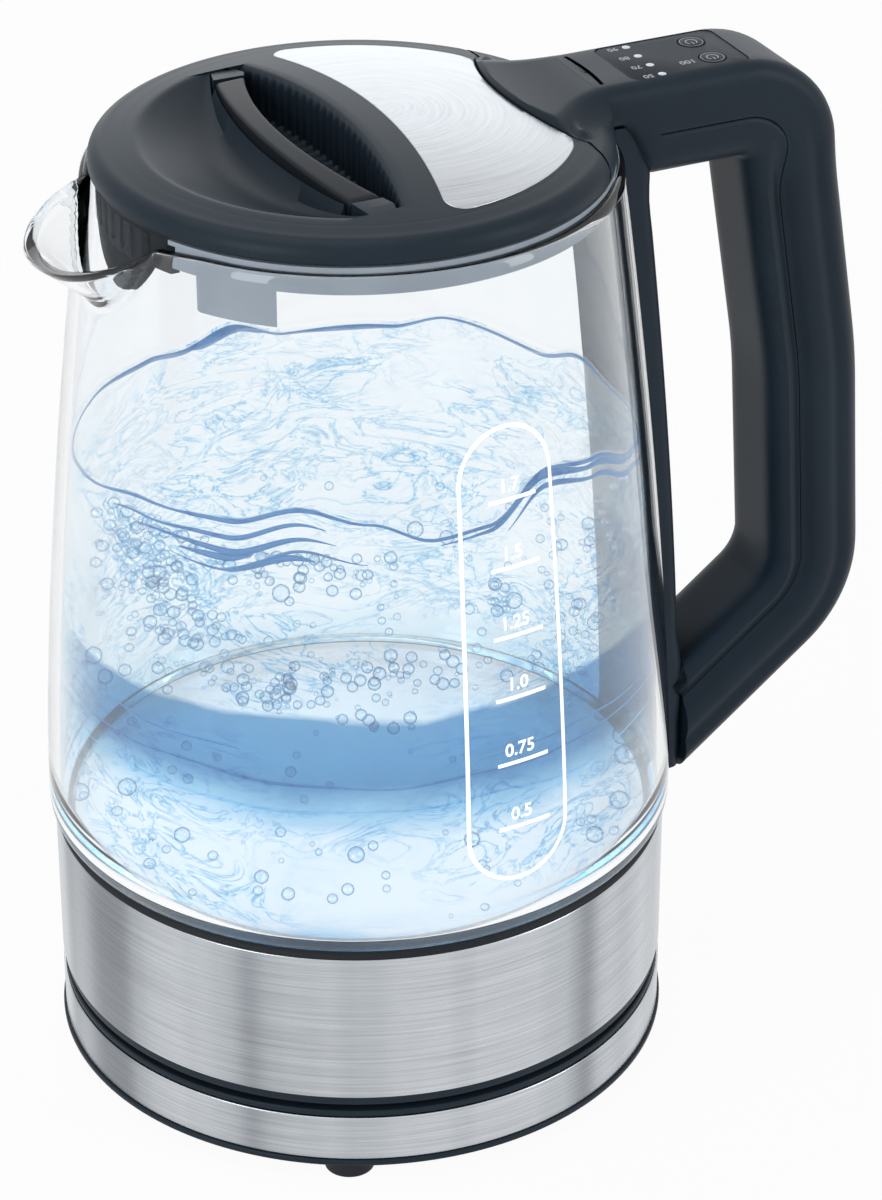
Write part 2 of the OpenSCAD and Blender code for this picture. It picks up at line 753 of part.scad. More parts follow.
// Outward vector of ring i; the last ring is cut square to X so that it meets the strip
function outward(pts, i) = let (t = tangent(pts, i), n = turn_left(t))
    i == len(pts) - 1 ? n - t * (n[0] / t[0]) : n;

// Sweeps a closed section of [s, y] points along the handle's path
module sweep(section, first, last) {
    pts = path_points();
    m = len(section);
    rings = [for (i = [first:last]) let (n = outward(pts, i)) [for (q = section)
        [pts[i][0] + n[0] * q[0], q[1], pts[i][1] + n[1] * q[0]]]];
    sides = [for (i = [0:last - first - 1]) for (k = [0:m - 1])
        [i * m + k, i * m + (k + 1) % m, (i + 1) * m + (k + 1) % m, (i + 1) * m + k]];
    end = (last - first) * m;
    caps = concat([for (k = [0:m / 2 - 2]) [m - 1 - k, m - 2 - k, k + 1, k]],
        [for (k = [0:m / 2 - 2]) [end + k, end + k + 1, end + m - 2 - k, end + m - 1 - k]]);
    polyhedron([for (r = rings) for (p = r) p], concat(sides, caps), convexity = 6);
}

// Half of the handle's section on one side of the seam, as a C with a wall
function half_section(side, t, w, c, wall, seam) = concat(
    [[seam, w]], arc_side(side, t, w, c), [[seam, -w]],
    [[seam, -w + wall]], arc_back(side, t - wall, w - wall, max(c - wall, 1)), [[seam, w - wall]]);
function arc_side(side, t, w, c) = concat(
    [for (a = [0:30:90]) [side * (t - c + c * sin(a)), w - c + c * cos(a)]],
    [for (a = [0:30:90]) [side * (t - c + c * cos(a)), -w + c - c * sin(a)]]);
function arc_back(side, t, w, c) = [for (i = [7:-1:0]) arc_side(side, t, w, c)[i]];

module handle_shell() {
    color("dimgray") difference() {
        sweep(half_section(1, handle_t, handle_w, handle_corner, handle_wall, seam_s), 0, last_ring);
        panel_opening(part_gap);
        translate([jug_r, 0, handle_screw_z[0]]) rotate([0, 90, 0])
            cylinder(r = screw_r + seat_gap, h = 18, $fn = 24);
    }
}

module handle_inner_cover() {
    section = half_section(-1, handle_t, handle_w, finger_corner, handle_wall, seam_s - seat_gap);
    color("dimgray") sweep(section, 0, last_ring);
}

module panel_opening(grow) {
    translate([panel_x - panel_l / 2 - grow, -panel_w - grow, lid_top_z - 3])
        cube([panel_l + 2 * grow, 2 * (panel_w + grow), 5]);
}

// Bracket that follows the glass and carries the handle's lower end
module handle_mount_strip() {
    half_angle = asin(strip_w / strip_face_x);
    strip_in = band_r + part_gap;
    inner = concat([[strip_in, strip_z], [strip_in, glass_z], [glass_r0 + 0.4, glass_z + 1]],
        glass_outline(-0.4, glass_z + 2, rim_z - 0.4, 16));
    outer = concat([[arm_x - part_gap, rim_z - 0.4], [arm_x - part_gap, strip_top]],
        [for (i = [15:-1:0]) let (z = glass_z + (strip_top - glass_z) * i / 16)
            [glass_radius(z) + strip_t, z]],
        [[jug_r + strip_t, strip_z]]);
    color("black") difference() {
        union() {
            rotate(-half_angle) rotate_extrude(angle = 2 * half_angle, $fn = 128)
                polygon(concat(inner, outer));
            translate([jug_r + 3, -strip_w, strip_z]) cube([strip_face_x - jug_r - 3, 2 * strip_w, 36]);
        }
        for (z = handle_screw_z) translate([0, 0, z]) rotate([0, 90, 0]) {
            cylinder(r = screw_r + seat_gap, h = huge / 2, $fn = 24);
            cylinder(r = screw_head_r + seat_gap, h = jug_r + 3.5, $fn = 24);
        }
    }
}

module handle_screws() {
    color("silver") for (z = handle_screw_z)
        translate([jug_r + 3.5 - screw_head_h - seat_gap, 0, z]) rotate([0, 90, 0]) screw(14);
}

// ---------- Controls in the handle ----------

module button_spots() {
    for (y = [-button_y, button_y]) translate([button_x, y, 0]) children();
}

module light_spots() {
    for (i = [-1.5:1:1.5]) translate([light_x, i * light_pitch, 0]) children();
}

module control_panel() {
    color("black") difference() {
        union() {
            translate([panel_x - panel_l / 2, -panel_w, panel_z]) cube([panel_l, 2 * panel_w, panel_t]);
            for (x = leg_xs) for (side = [-1, 1]) translate([x, side * leg_y, board_top + seat_gap])
                cylinder(r = 1.5, h = panel_z - board_top, $fn = 24);
        }
        translate([0, 0, panel_z - 1]) button_spots() cylinder(r = button_r + 0.3, h = panel_t + 2, $fn = 48);
        translate([0, 0, panel_z - 1]) light_spots() cylinder(r = 1.1 + seat_gap, h = panel_t + 2, $fn = 24);
    }
}

module control_board() {
    color("darkgreen") translate([board_x, -panel_w + 1, board_top - board_t])
        cube([board_end - board_x, 2 * (panel_w - 1), board_t]);
}

module panel_lights() {
    color("white") light_spots() translate([0, 0, board_top + seat_gap])
        cylinder(r = 1.1, h = panel_top - board_top - seat_gap, $fn = 24);
}

module button_switches() {
    switch_h = panel_z - 2.8 - button_travel - board_top;
    color("dimgray") button_spots() translate([-2.5, -2.5, board_top + seat_gap]) cube([5, 5, switch_h - 1]);
    color("dimgray") button_spots() translate([0, 0, board_top + seat_gap])
        cylinder(r = 1.4, h = switch_h, $fn = 24);
}

// Button: a cap through the panel on a flange below it
module push_button(y) {
    color("black") translate([button_x, y, 0]) {
        translate([0, 0, panel_z - 1.4]) cylinder(r = button_r, h = panel_top - panel_z + 1.6, $fn = 48);
        translate([0, 0, panel_z - 1.5]) cylinder(r = button_r + 1, h = 1.2, $fn = 48);
        translate([0, 0, panel_z - 2.4]) cylinder(r = 1.4, h = 1.2, $fn = 24);
    }
}

module power_button() {
    push_button(button_y);
}

module boil_button() {
    push_button(-button_y);
}

// Wires from the jug's heater to the control board, inside the handle
module wire_harness() {
    wire_r = 2.2;
    rise = board_top - board_t - 0.1 - wire_r - arm_z;
    color("red") sweep([for (a = [0:36:324]) [rise + wire_r * cos(a), wire_r * sin(a)]], 0, last_ring);
}

// ---------- Lid ----------

// Cylinder whose surface is the arc that crosses y = 0 at x
module arc_cutter(x, r, grow) {
    translate([x > slot_back_x - eps ? x - r : x + r, 0, recess_z - 20])
        cylinder(r = r + grow, h = 60, $fn = 256);
}

// Height of the thumb bowl's floor at radius r
function bowl_z(r) = let (t = (r - bowl_in_r) / (bowl_r - bowl_in_r))
    recess_z + (dome_z(bowl_r) - recess_z) * pow(t, 1.6);

// Space of the thumb bowl and of the grip slot, grown by d on all its walls
module recess(d) {
    difference() {
        revolve(concat([[0, lid_top_z + 5], [0, recess_z - d], [bowl_in_r, recess_z - d]],
            [for (i = [1:8]) let (r = bowl_in_r + (bowl_r - bowl_in_r) * i / 8) [r, bowl_z(r) - d]],
            [[bowl_r + d, dome_z(bowl_r)], [bowl_r + d, lid_top_z + 5]]));
        arc_cutter(ridge_x - 0.4, ridge_r, 0);
        scoop();
    }
    intersection() {
        translate([0, 0, recess_z - d]) cylinder(r = bowl_r - 1.5 + d, h = 30, $fn = 128);
        arc_cutter(ridge_x - 0.4 - eps, ridge_r, d);
        arc_cutter(slot_back_x, slot_back_r, d);
    }
}

// Hollow corner in which the thumb bowl's floor rises to its rear edge
module scoop() {
    foot = ridge_r - 1;
    corner = [for (a = [0:15:90]) [ridge_r + scoop_r - scoop_r * sin(a), recess_z + scoop_r * (1 - cos(a))]];
    translate([ridge_x - 0.4 + ridge_r, 0, 0]) rotate_extrude($fn = 256)
        polygon(concat([[foot, recess_z - 3], [ridge_r + scoop_r, recess_z - 3]], corner,
            [[foot, recess_z + scoop_r]]));
}

module bolt_slot(grow) {
    for (s = [-1, 1]) translate([-55, s * bolt_y - bolt_w / 2 - grow, bolt_z - grow])
        cube([bolt_end_x + 55, bolt_w + 2 * grow, bolt_h + 2 * grow]);
}

// Domed sheet of thickness t, its top at depth d, out to radius r1
module dome_sheet(d, t, r1) {
    revolve(concat(dome_outline(d, r1), [for (i = [0:10]) let (r = r1 * i / 10) [r, dome_z(r) - d - t]]));
}

// The lid's shell in one revolved profile: rim, shoulder and dome
module lid_shell() {
    in_r = shoulder_r - 1;
    revolve(concat([[in_r, rim_z], [lid_r, rim_z]], rim_outline(), dome_outline(0, shoulder_r),
        [for (i = [0:10]) let (r = in_r * i / 10) [r, dome_z(r) - lid_wall]]));
}

// Walls and floor round the bowl and the grip slot
module lid_tub(wall) {
    tub_r = bowl_r + wall;
    intersection() {
        revolve(concat([[0, recess_z - wall], [bowl_in_r, recess_z - wall]],
            [for (i = [1:8]) let (r = bowl_in_r + (tub_r - bowl_in_r) * i / 8)
                [r, min(bowl_z(r) - wall, dome_z(r) - 1)]],
            dome_outline(0.6, tub_r)));
        arc_cutter(slot_back_x, slot_back_r, wall);
    }
}

module lid_top() {
    color("dimgray") {
        difference() {
            union() {
                lid_shell();
                lid_tub(1.6);
                lid_bosses();
            }
            recess(0);
            bolt_slot(0.4);
            plate_seat();
            for (p = lid_screw_spots) translate([p[0], p[1], recess_z - 3])
                cylinder(r = screw_r, h = 6, $fn = 24);
            behind(hinge_x - part_gap);
            nose(nose_gap, nose_half + nose_gap);
        }
        for (s = [-1, 1]) lid_knuckle(s * knuckle_y);
    }
}

// Screw bosses and the walls behind the latch springs
module lid_bosses() {
    boss_z = recess_z - 1.6;
    for (p = lid_screw_spots) translate([p[0], p[1], boss_z])
        cylinder(r = 3.4, h = dome_z(norm(p)) - boss_z - 1.2, $fn = 32);
    for (s = [-1, 1]) translate([spring_x1, s * spring_y - 2.5, boss_z])
        cube([1.6, 5, dome_z(spring_y) - boss_z - 2]);
}

// Knuckle round the hinge pin, on an arm that rises to the lid's shell
module lid_knuckle(y) {
    arm_t = 2.4;
    arm_reach = 13;
    translate([hinge_x, y, hinge_z]) rotate([90, 0, 0]) difference() {
        union() {
            cylinder(r = knuckle_r, h = knuckle_w, center = true, $fn = 48);
            translate([-arm_reach, -knuckle_r, -knuckle_w / 2]) cube([arm_reach, arm_t, knuckle_w]);
            translate([-arm_reach, -knuckle_r, -knuckle_w / 2]) cube([3, 5, knuckle_w]);
        }
        cylinder(r = hinge_pin_r + run_gap, h = knuckle_w + 2, center = true, $fn = 48);
    }
}

// Pocket in the dome that the steel plate lies in
module plate_seat() {
    difference() {
        dome_sheet(-1, 1 + plate_sheet + seat_gap, plate_r);
        plate_edge(0);
    }
}

// Round edge of the steel plate towards the grip slot
module plate_edge(grow) {
    translate([plate_edge_bow - plate_edge_r, 0, recess_z - 1])
        cylinder(r = plate_edge_r + grow, h = 32, $fn = 256);
}

module lid_steel_plate() {
    color("silver") difference() {
        dome_sheet(0, plate_sheet, plate_r - seat_gap);
        plate_edge(seat_gap);
        behind(hinge_x - part_gap - seat_gap);
        nose(nose_gap + 0.1, nose_half + nose_gap);
    }
}

module lid_inner_plate() {
    wall_r = plug_r - 1;
    color("gray") difference() {
        intersection() {
            union() {
                translate([0, 0, plug_z]) cylinder(r = plug_r, h = plug_t, $fn = 128);
                ring(wall_r, wall_r - 1.6, dome_z(wall_r) - lid_wall - plug_z - seat_gap, plug_z);
            }
            front_of(hinge_x - part_gap);
        }
        bolt_slot(0.4);
        nose(nose_gap, nose_half + nose_gap);
        for (s = [-1, 1]) knuckle_room(s * knuckle_y);
        for (p = lid_screw_spots) translate([p[0], p[1], plug_z - 1])
            cylinder(r = screw_r + 0.2, h = 4, $fn = 24);
    }
}

module knuckle_room(y) {
    translate([hinge_x - 16, y - knuckle_w, hinge_z - knuckle_r - 0.4]) cube([30, 2 * knuckle_w, 20]);
}

module lid_seal() {
    color("white") intersection() {
        ring(plug_r + 0.9, plug_r - 1 + seat_gap, 2.2, plug_z + plug_t + seat_gap);
        front_of(hinge_x - part_gap);
    }
}

module lid_screws() {
    color("silver") for (p = lid_screw_spots) translate([p[0], p[1], plug_z - seat_gap - screw_head_h])
        screw(7);
}

// Crescent trigger between the thumb bowl and the grip slot, with its two latch bolts
module latch_trigger() {
    color("dimgray") {
        intersection() {
            difference() {
                arc_cutter(ridge_x, ridge_r, 0);
                arc_cutter(slot_front_x, slot_front_r, 0);
            }
            dome_solid(1.4, bowl_r - 6, recess_z + 0.4);
            translate([-huge, -bolt_y, 0]) cube([huge, 2 * bolt_y, huge]);
        }
        for (s = [-1, 1]) {
            translate([bolt_tip_x, s * bolt_y - bolt_w / 2, bolt_z])
                cube([bolt_end_x - bolt_tip_x, bolt_w, bolt_h]);
            translate([spring_x0 - 1.5, min(s * bolt_y, s * (spring_y - 2)), bolt_z])
                cube([1.5, bolt_y - spring_y + 2, bolt_h]);
        }
    }
}

module latch_springs() {
    length = spring_x1 - spring_x0 - 2 * seat_gap;
    color("silver") for (s = [-1, 1]) translate([spring_x0 + seat_gap, s * spring_y, bolt_z + bolt_h / 2])
        rotate([0, 90, 0]) difference() {
            cylinder(r = spring_r, h = length, $fn = 24);
            translate([0, 0, -1]) cylinder(r = spring_r - 0.5, h = length + 2, $fn = 24);
        }
}

base_lower_cover();
base_upper_cover();
base_trim();
base_feet();
base_connector();
base_contacts();
base_terminal_board();
base_relay();
base_screws();
cord_inlet();
coupler_socket();
coupler_contacts();
jug_base_cover();
steel_band();
glass_gasket();
glass_body();
heating_plate();
plate_seal();
heat_diffuser();
heating_element();
thermal_cutout();
water_sensor();
jug_base_screws();
collar_ring();
hinge_housing();
hinge_pin();
handle_shell();
handle_inner_cover();
handle_mount_strip();
control_panel();
control_board();
panel_lights();
button_switches();
handle_screws();
wire_harness();
filter_frame();
filter_mesh();
power_button();
boil_button();
lid_top();
lid_steel_plate();
lid_inner_plate();
lid_seal();
lid_screws();
latch_trigger();
latch_springs();
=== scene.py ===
"""Glass electric kettle on its power base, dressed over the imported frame."""

import json
import logging
import math
import random
from dataclasses import dataclass, field
from enum import Enum
from typing import Dict, List, Optional, Sequence, Tuple

import bmesh
import bpy
from mathutils import Matrix, Vector, noise

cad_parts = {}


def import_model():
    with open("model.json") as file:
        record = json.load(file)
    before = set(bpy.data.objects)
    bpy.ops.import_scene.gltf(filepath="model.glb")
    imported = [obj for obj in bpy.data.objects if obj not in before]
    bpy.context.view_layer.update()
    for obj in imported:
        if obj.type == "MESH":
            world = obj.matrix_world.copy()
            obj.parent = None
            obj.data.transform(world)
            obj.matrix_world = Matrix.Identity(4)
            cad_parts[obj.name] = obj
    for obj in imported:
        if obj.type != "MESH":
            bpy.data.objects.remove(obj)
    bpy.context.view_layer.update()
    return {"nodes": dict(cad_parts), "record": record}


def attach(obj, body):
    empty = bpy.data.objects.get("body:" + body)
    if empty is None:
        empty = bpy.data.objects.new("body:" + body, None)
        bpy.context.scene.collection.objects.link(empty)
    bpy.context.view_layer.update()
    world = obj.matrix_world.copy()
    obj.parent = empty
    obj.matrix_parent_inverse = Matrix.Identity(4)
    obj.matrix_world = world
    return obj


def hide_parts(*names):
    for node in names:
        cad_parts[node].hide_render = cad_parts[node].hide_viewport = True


LOG = logging.getLogger("kettle")
MM = 0.001
Point = Tuple[float, float, float]
Colour = Tuple[float, float, float]
Profile = List[Tuple[float, float]]
Faces = List[List[int]]
Traced = Tuple[Profile, Faces]
Material = bpy.types.Material
Piece = bpy.types.Object
Socket = bpy.types.NodeSocket


class Body(Enum):
    """Rigid bodies that the pieces ride on."""

    BASE = "base"
    COUPLER = "coupler"
    JUG = "jug"
    LID = "lid"
    TRIGGER = "trigger"
    POWER = "power_button"
    BOIL = "boil_button"


class Brush(Enum):
    """Ways the steel's brushing runs."""

    ROUND_BAND = "round_band"
    LID_RINGS = "lid_rings"
    PLAIN = "plain"


# ---------------------------------------------------------------- shape helpers


def smooth_step(low: float, high: float, value: float) -> float:
    """Ease from 0 to 1.

    Args:
        low: value where the ease starts.
        high: value where it ends.
        value: the value looked up.

    Returns:
        The eased fraction from 0 to 1.
    """
    t = min(1.0, max(0.0, (value - low) / (high - low)))
    return t * t * (3 - 2 * t)


def smooth_max(a: float, b: float, soft: float) -> float:
    """Greater of two values, with a soft crossing.

    Args:
        a: first value.
        b: second value.
        soft: width of the crossing.

    Returns:
        The blended maximum.
    """
    h = max(0.0, soft - abs(a - b)) / soft
    return max(a, b) + h * h * soft * 0.25


def arc(steps: int, sweep: float = math.pi / 2, start: float = 0.0) -> Profile:
    """Cosine and sine of evenly spaced angles.

    Args:
        steps: number of steps.
        sweep: whole angle in radians.
        start: first angle in radians.

    Returns:
        One pair for each of steps + 1 angles.
    """
    angles = [start + sweep * k / steps for k in range(steps + 1)]
    return [(math.cos(a), math.sin(a)) for a in angles]


def circle(steps: int) -> Profile:
    """Cosine and sine of each step round a whole circle."""
    return arc(steps, 2 * math.pi)[:-1]


class Shape:
    """Builders that turn points in millimetres into Blender meshes."""

    @staticmethod
    def link(name: str, mesh: bpy.types.Mesh) -> Piece:
        """Put a mesh into the scene as a piece.

        Args:
            name: name of the piece.
            mesh: its mesh.

        Returns:
            The new object.
        """
        piece = bpy.data.objects.new(name, mesh)
        bpy.context.scene.collection.objects.link(piece)
        return piece

    @staticmethod
    def join(first: Piece, *others: Piece) -> None:
        """Merge meshes into the first object and drop the others.

        Args:
            first: piece that stays.
            others: pieces that join it.
        """
        work = bmesh.new()
        work.from_mesh(first.data)
        for other in others:
            work.from_mesh(other.data)
            bpy.data.objects.remove(other)
        work.to_mesh(first.data)
        work.free()

    @staticmethod
    def solid(name: str, points: Sequence[Point], faces: Sequence[Sequence[int]], sharp: float = 35.0,
              recalc: bool = True) -> Piece:
        """Make a mesh object from points and faces.

        Args:
            name: name of the piece.
            points: corners in millimetres.
            faces: corner numbers of each face.
            sharp: edges over this angle, in degrees, stay sharp.
            recalc: turn the faces outward.

        Returns:
            The new object, linked to the scene.
        """
        mesh = bpy.data.meshes.new(name)
        mesh.from_pydata([(x * MM, y * MM, z * MM) for x, y, z in points], [], [list(f) for f in faces])
        work = bmesh.new()
        work.from_mesh(mesh)
        bmesh.ops.remove_doubles(work, verts=work.verts, dist=2e-6)
        bmesh.ops.dissolve_degenerate(work, edges=work.edges, dist=1e-7)
        if recalc:
            bmesh.ops.recalc_face_normals(work, faces=work.faces)
        work.to_mesh(mesh)
        work.free()
        mesh.polygons.foreach_set("use_smooth", [True] * len(mesh.polygons))
        mesh.set_sharp_from_angle(angle=math.radians(sharp))
        mesh.update()
        return Shape.link(name, mesh)

    @staticmethod
    def loft(name: str, rings: Sequence[Sequence[Point]], closed: bool = True, caps: bool = True,
             loop: bool = False, sharp: float = 35.0) -> Piece:
        """Skin a row of rings.

        Args:
            name: name of the piece.
            rings: rings of equal length.
            closed: each ring closes on itself.
            caps: close the first and last ring.
            loop: the last ring joins the first.
            sharp: sharp-edge angle in degrees.

        Returns:
            The new object.
        """
        count = len(rings[0])
        points = [p for ring in rings for p in ring]
        faces: Faces = []
        last = len(rings) if loop else len(rings) - 1
        for i in range(last):
            for k in range(count if closed else count - 1):
                a, b = i * count, ((i + 1) % len(rings)) * count
                faces.append([a + k, a + (k + 1) % count, b + (k + 1) % count, b + k])
        if caps and closed and not loop:
            faces.append(list(range(count))[::-1])
            faces.append([(len(rings) - 1) * count + k for k in range(count)])
        return Shape.solid(name, points, faces, sharp)

    @staticmethod
    def lathe(name: str, profile: Profile, steps: int = 192, closed: bool = True, sharp: float = 35.0) -> Piece:
        """Turn a profile round the upright axis.

        Args:
            name: name of the piece.
            profile: radius and height of each corner.
            steps: segments round the axis.
            closed: the profile is a closed ring.
            sharp: sharp-edge angle in degrees.

        Returns:
            The new object.
        """
        rings = [[(r * c, r * s, z) for r, z in profile] for c, s in circle(steps)]
        return Shape.loft(name, rings, closed=closed, caps=False, loop=True, sharp=sharp)

    @staticmethod
    def rounded(profile: Profile, radius: float, steps: int = 4) -> Profile:
        """Round the corners of a closed profile.

        Args:
            profile: corners of the profile.
            radius: radius of the rounding.
            steps: points on each corner.

        Returns:
            The rounded profile.
        """
        out: Profile = []
        count = len(profile)
        for i in range(count):
            p = Vector(profile[i])
            a = Vector(profile[i - 1]) - p
            b = Vector(profile[(i + 1) % count]) - p
            cut = min(radius, a.length * 0.45, b.length * 0.45)
            start, end = p + a.normalized() * cut, p + b.normalized() * cut
            for k in range(steps + 1):
                t = k / steps
                q = start * (1 - t) ** 2 + p * 2 * t * (1 - t) + end * t * t
                out.append((q.x, q.y))
        return out

    @staticmethod
    def plate(name: str, outline: Profile, low: float, high: float, bevel: float = 0.3) -> Piece:
        """Make a flat plate with a softened top edge.

        Args:
            name: name of the piece.
            outline: plan of the plate.
            low: height of its underside.
            high: height of its top.
            bevel: size of the softened edge.

        Returns:
            The new object.
        """
        cx = sum(p[0] for p in outline) / len(outline)
        cy = sum(p[1] for p in outline) / len(outline)

        def ring(inset: float, z: float) -> List[Point]:
            """Outline pulled in by inset at height z.

            Args:
                inset: how far the outline is pulled in.
                z: height.

            Returns:
                The ring of points.
            """
            out = []
            for x, y in outline:
                d = math.hypot(x - cx, y - cy)
                f = (d - inset) / d
                out.append((cx + (x - cx) * f, cy + (y - cy) * f, z))
            return out

        soft = bevel * 0.3
        return Shape.loft(name, [ring(0, low), ring(0, high - bevel), ring(soft, high - soft), ring(bevel, high)])


# ---------------------------------------------------------------- finishes


class Tree:
    """Small hand for building the nodes of one material, or of the world."""

    def __init__(self, name: str, world: Optional[bpy.types.World] = None) -> None:
        """Start an empty node tree.

        Args:
            name: name of the new material.
            world: the world to build instead of a material.
        """
        self.owner = world or bpy.data.materials.new(name)
        self.owner.use_nodes = True
        self.nodes = self.owner.node_tree.nodes
        self.links = self.owner.node_tree.links
        self.nodes.clear()
        self.output = self.add("OutputWorld" if world else "OutputMaterial")

    def add(self, kind: str, values: Optional[Dict[str, object]] = None, **settings: object) -> bpy.types.Node:
        """Add a node.

        Args:
            kind: type of the node, without its ShaderNode prefix.
            values: socket values by socket name.
            settings: properties of the node.

        Returns:
            The new node.
        """
        node = self.nodes.new("ShaderNode" + kind)
        for key, value in settings.items():
            setattr(node, key, value)
        for key, value in (values or {}).items():
            node.inputs[key].default_value = value
        return node

    def wire(self, source: Socket, target: Socket) -> None:
        """Join two sockets."""
        self.links.new(source, target)

    def feed(self, target: Socket, value: object) -> None:
        """Join a socket to the target, or set the target to a plain value.

        Args:
            target: socket that takes the value.
            value: socket or plain value.
        """
        if isinstance(value, Socket):
            self.wire(value, target)
        else:
            target.default_value = value

    def math(self, operation: str, a: object, b: object = 0.0, clamp: bool = False) -> Socket:
        """Add a math node on sockets or numbers.

        Args:
            operation: name of the operation.
            a: first socket or number.
            b: second socket or number.
            clamp: keep the result from 0 to 1.

        Returns:
            The result socket.
        """
        node = self.add("Math", operation=operation, use_clamp=clamp)
        for slot, value in enumerate((a, b)):
            self.feed(node.inputs[slot], value)
        return node.outputs[0]

    def noise(self, vector: Socket, scale: float, detail: float = 3.0, rough: float = 0.55) -> Socket:
        """Add a noise texture and return its value socket.

        Args:
            vector: coordinates of the texture.
            scale: size of the pattern.
            detail: depth of the detail.
            rough: roughness of the detail.

        Returns:
            The value socket.
        """
        node = self.add("TexNoise", {"Scale": scale, "Detail": detail, "Roughness": rough})
        self.wire(vector, node.inputs["Vector"])
        return node.outputs["Fac"]

    def ramp(self, value: Socket, stops: Sequence[Tuple[float, Sequence[float]]]) -> Socket:
        """Add a colour ramp.

        Args:
            value: socket that drives it.
            stops: place and colour of each stop.

        Returns:
            The colour socket.
        """
        node = self.add("ValToRGB")
        ramp = node.color_ramp
        while len(ramp.elements) < len(stops):
            ramp.elements.new(0.5)
        for element, (place, colour) in zip(ramp.elements, stops):
            element.position = place
            element.color = (*colour, 1.0) if len(colour) == 3 else tuple(colour)
        self.wire(value, node.inputs["Fac"])
        return node.outputs["Color"]

    def place(self) -> Socket:
        """Object coordinates in metres."""
        return self.add("TexCoord").outputs["Object"]

    def split(self, vector: Socket) -> bpy.types.Node:
        """Add a node that separates a vector into X, Y and Z.

        Args:
            vector: vector socket.

        Returns:
            The new node.
        """
        node = self.add("SeparateXYZ")
        self.wire(vector, node.inputs[0])
        return node

    def polar(self, turn: Socket, turn_scale: float, other: Socket, other_scale: float) -> Socket:
        """Join a turn and a second measure, each scaled, into a vector.

        Args:
            turn: socket of the turn in radians.
            turn_scale: factor on the turn.
            other: socket of the second measure.
            other_scale: factor on the second measure.

        Returns:
            The vector socket.
        """
        join = self.add("CombineXYZ")
        self.wire(self.math("MULTIPLY", turn, turn_scale), join.inputs["X"])
        self.wire(self.math("MULTIPLY", other, other_scale), join.inputs["Y"])
        return join.outputs[0]

    def blend(self, kind: str, share: object, low: object, high: object) -> Socket:
        """Mix two colours.

        Args:
            kind: blend type.
            share: factor socket or number.
            low: first colour socket or value.
            high: second colour socket or value.

        Returns:
            The colour socket.
        """
        node = self.add("Mix", data_type="RGBA", blend_type=kind)
        for slot, value in ((0, share), (6, low), (7, high)):
            self.feed(node.inputs[slot], value)
        return node.outputs[2]

    def mix(self, share: object, first: bpy.types.Node, second: bpy.types.Node) -> bpy.types.Node:
        """Mix two shaders by a factor socket or number.

        Args:
            share: factor socket or number.
            first: shader at 0.
            second: shader at 1.

        Returns:
            The new node.
        """
        node = self.add("MixShader")
        self.feed(node.inputs[0], share)
        self.wire(first.outputs[0], node.inputs[1])
        self.wire(second.outputs[0], node.inputs[2])
        return node

    def seen(self) -> Socket:
        """Factor of 1 for rays from the camera, through glass or off gloss, else 0.

        Returns:
            The factor socket.
        """
        ray = self.add("LightPath")
        direct = self.math("MAXIMUM", ray.outputs["Is Camera Ray"], ray.outputs["Is Transmission Ray"])
        return self.math("MAXIMUM", direct, ray.outputs["Is Glossy Ray"])

    def bump(self, height: Socket, strength: float, distance: float) -> Socket:
        """Add a bump and return its normal socket.

        Args:
            height: height socket.
            strength: strength of the bump.
            distance: depth in metres.

        Returns:
            The normal socket.
        """
        node = self.add("Bump", {"Strength": strength, "Distance": distance})
        self.wire(height, node.inputs["Height"])
        return node.outputs["Normal"]

    def finish(self, shader: bpy.types.Node) -> Material:
        """Join the shader to the output and return the material or world."""
        self.wire(shader.outputs[0], self.output.inputs["Surface"])
        return self.owner


@dataclass(frozen=True)
class Moulded:
    """Moulded plastic or rubber with a fine grain."""

    name: str
    colour: Colour
    roughness: float = 0.38
    grain: float = 0.04
    specular: float = 0.45
    spread: float = 0.12

    def material(self) -> Material:
        """Build the finish and return its material.

        Returns:
            The finished material.
        """
        tree = Tree(self.name)
        place = tree.place()
        shader = tree.add("BsdfPrincipled", {"Specular IOR Level": self.specular, "IOR": 1.48})
        dark = tuple(c * (1 - self.spread) for c in self.colour)
        light = tuple(c * (1 + self.spread) for c in self.colour)
        cloud = tree.noise(place, 38.0, 4.0)
        tree.wire(tree.ramp(cloud, ((0.3, dark), (0.7, light))), shader.inputs["Base Color"])
        fine = tree.noise(place, 2600.0, 2.0)
        rough = tree.math("ADD", tree.math("MULTIPLY", fine, 0.08), self.roughness - 0.04)
        tree.wire(tree.math("ADD", rough, tree.math("MULTIPLY", cloud, 0.04)), shader.inputs["Roughness"])
        tree.wire(tree.bump(fine, self.grain, 0.0002), shader.inputs["Normal"])
        return tree.finish(shader)


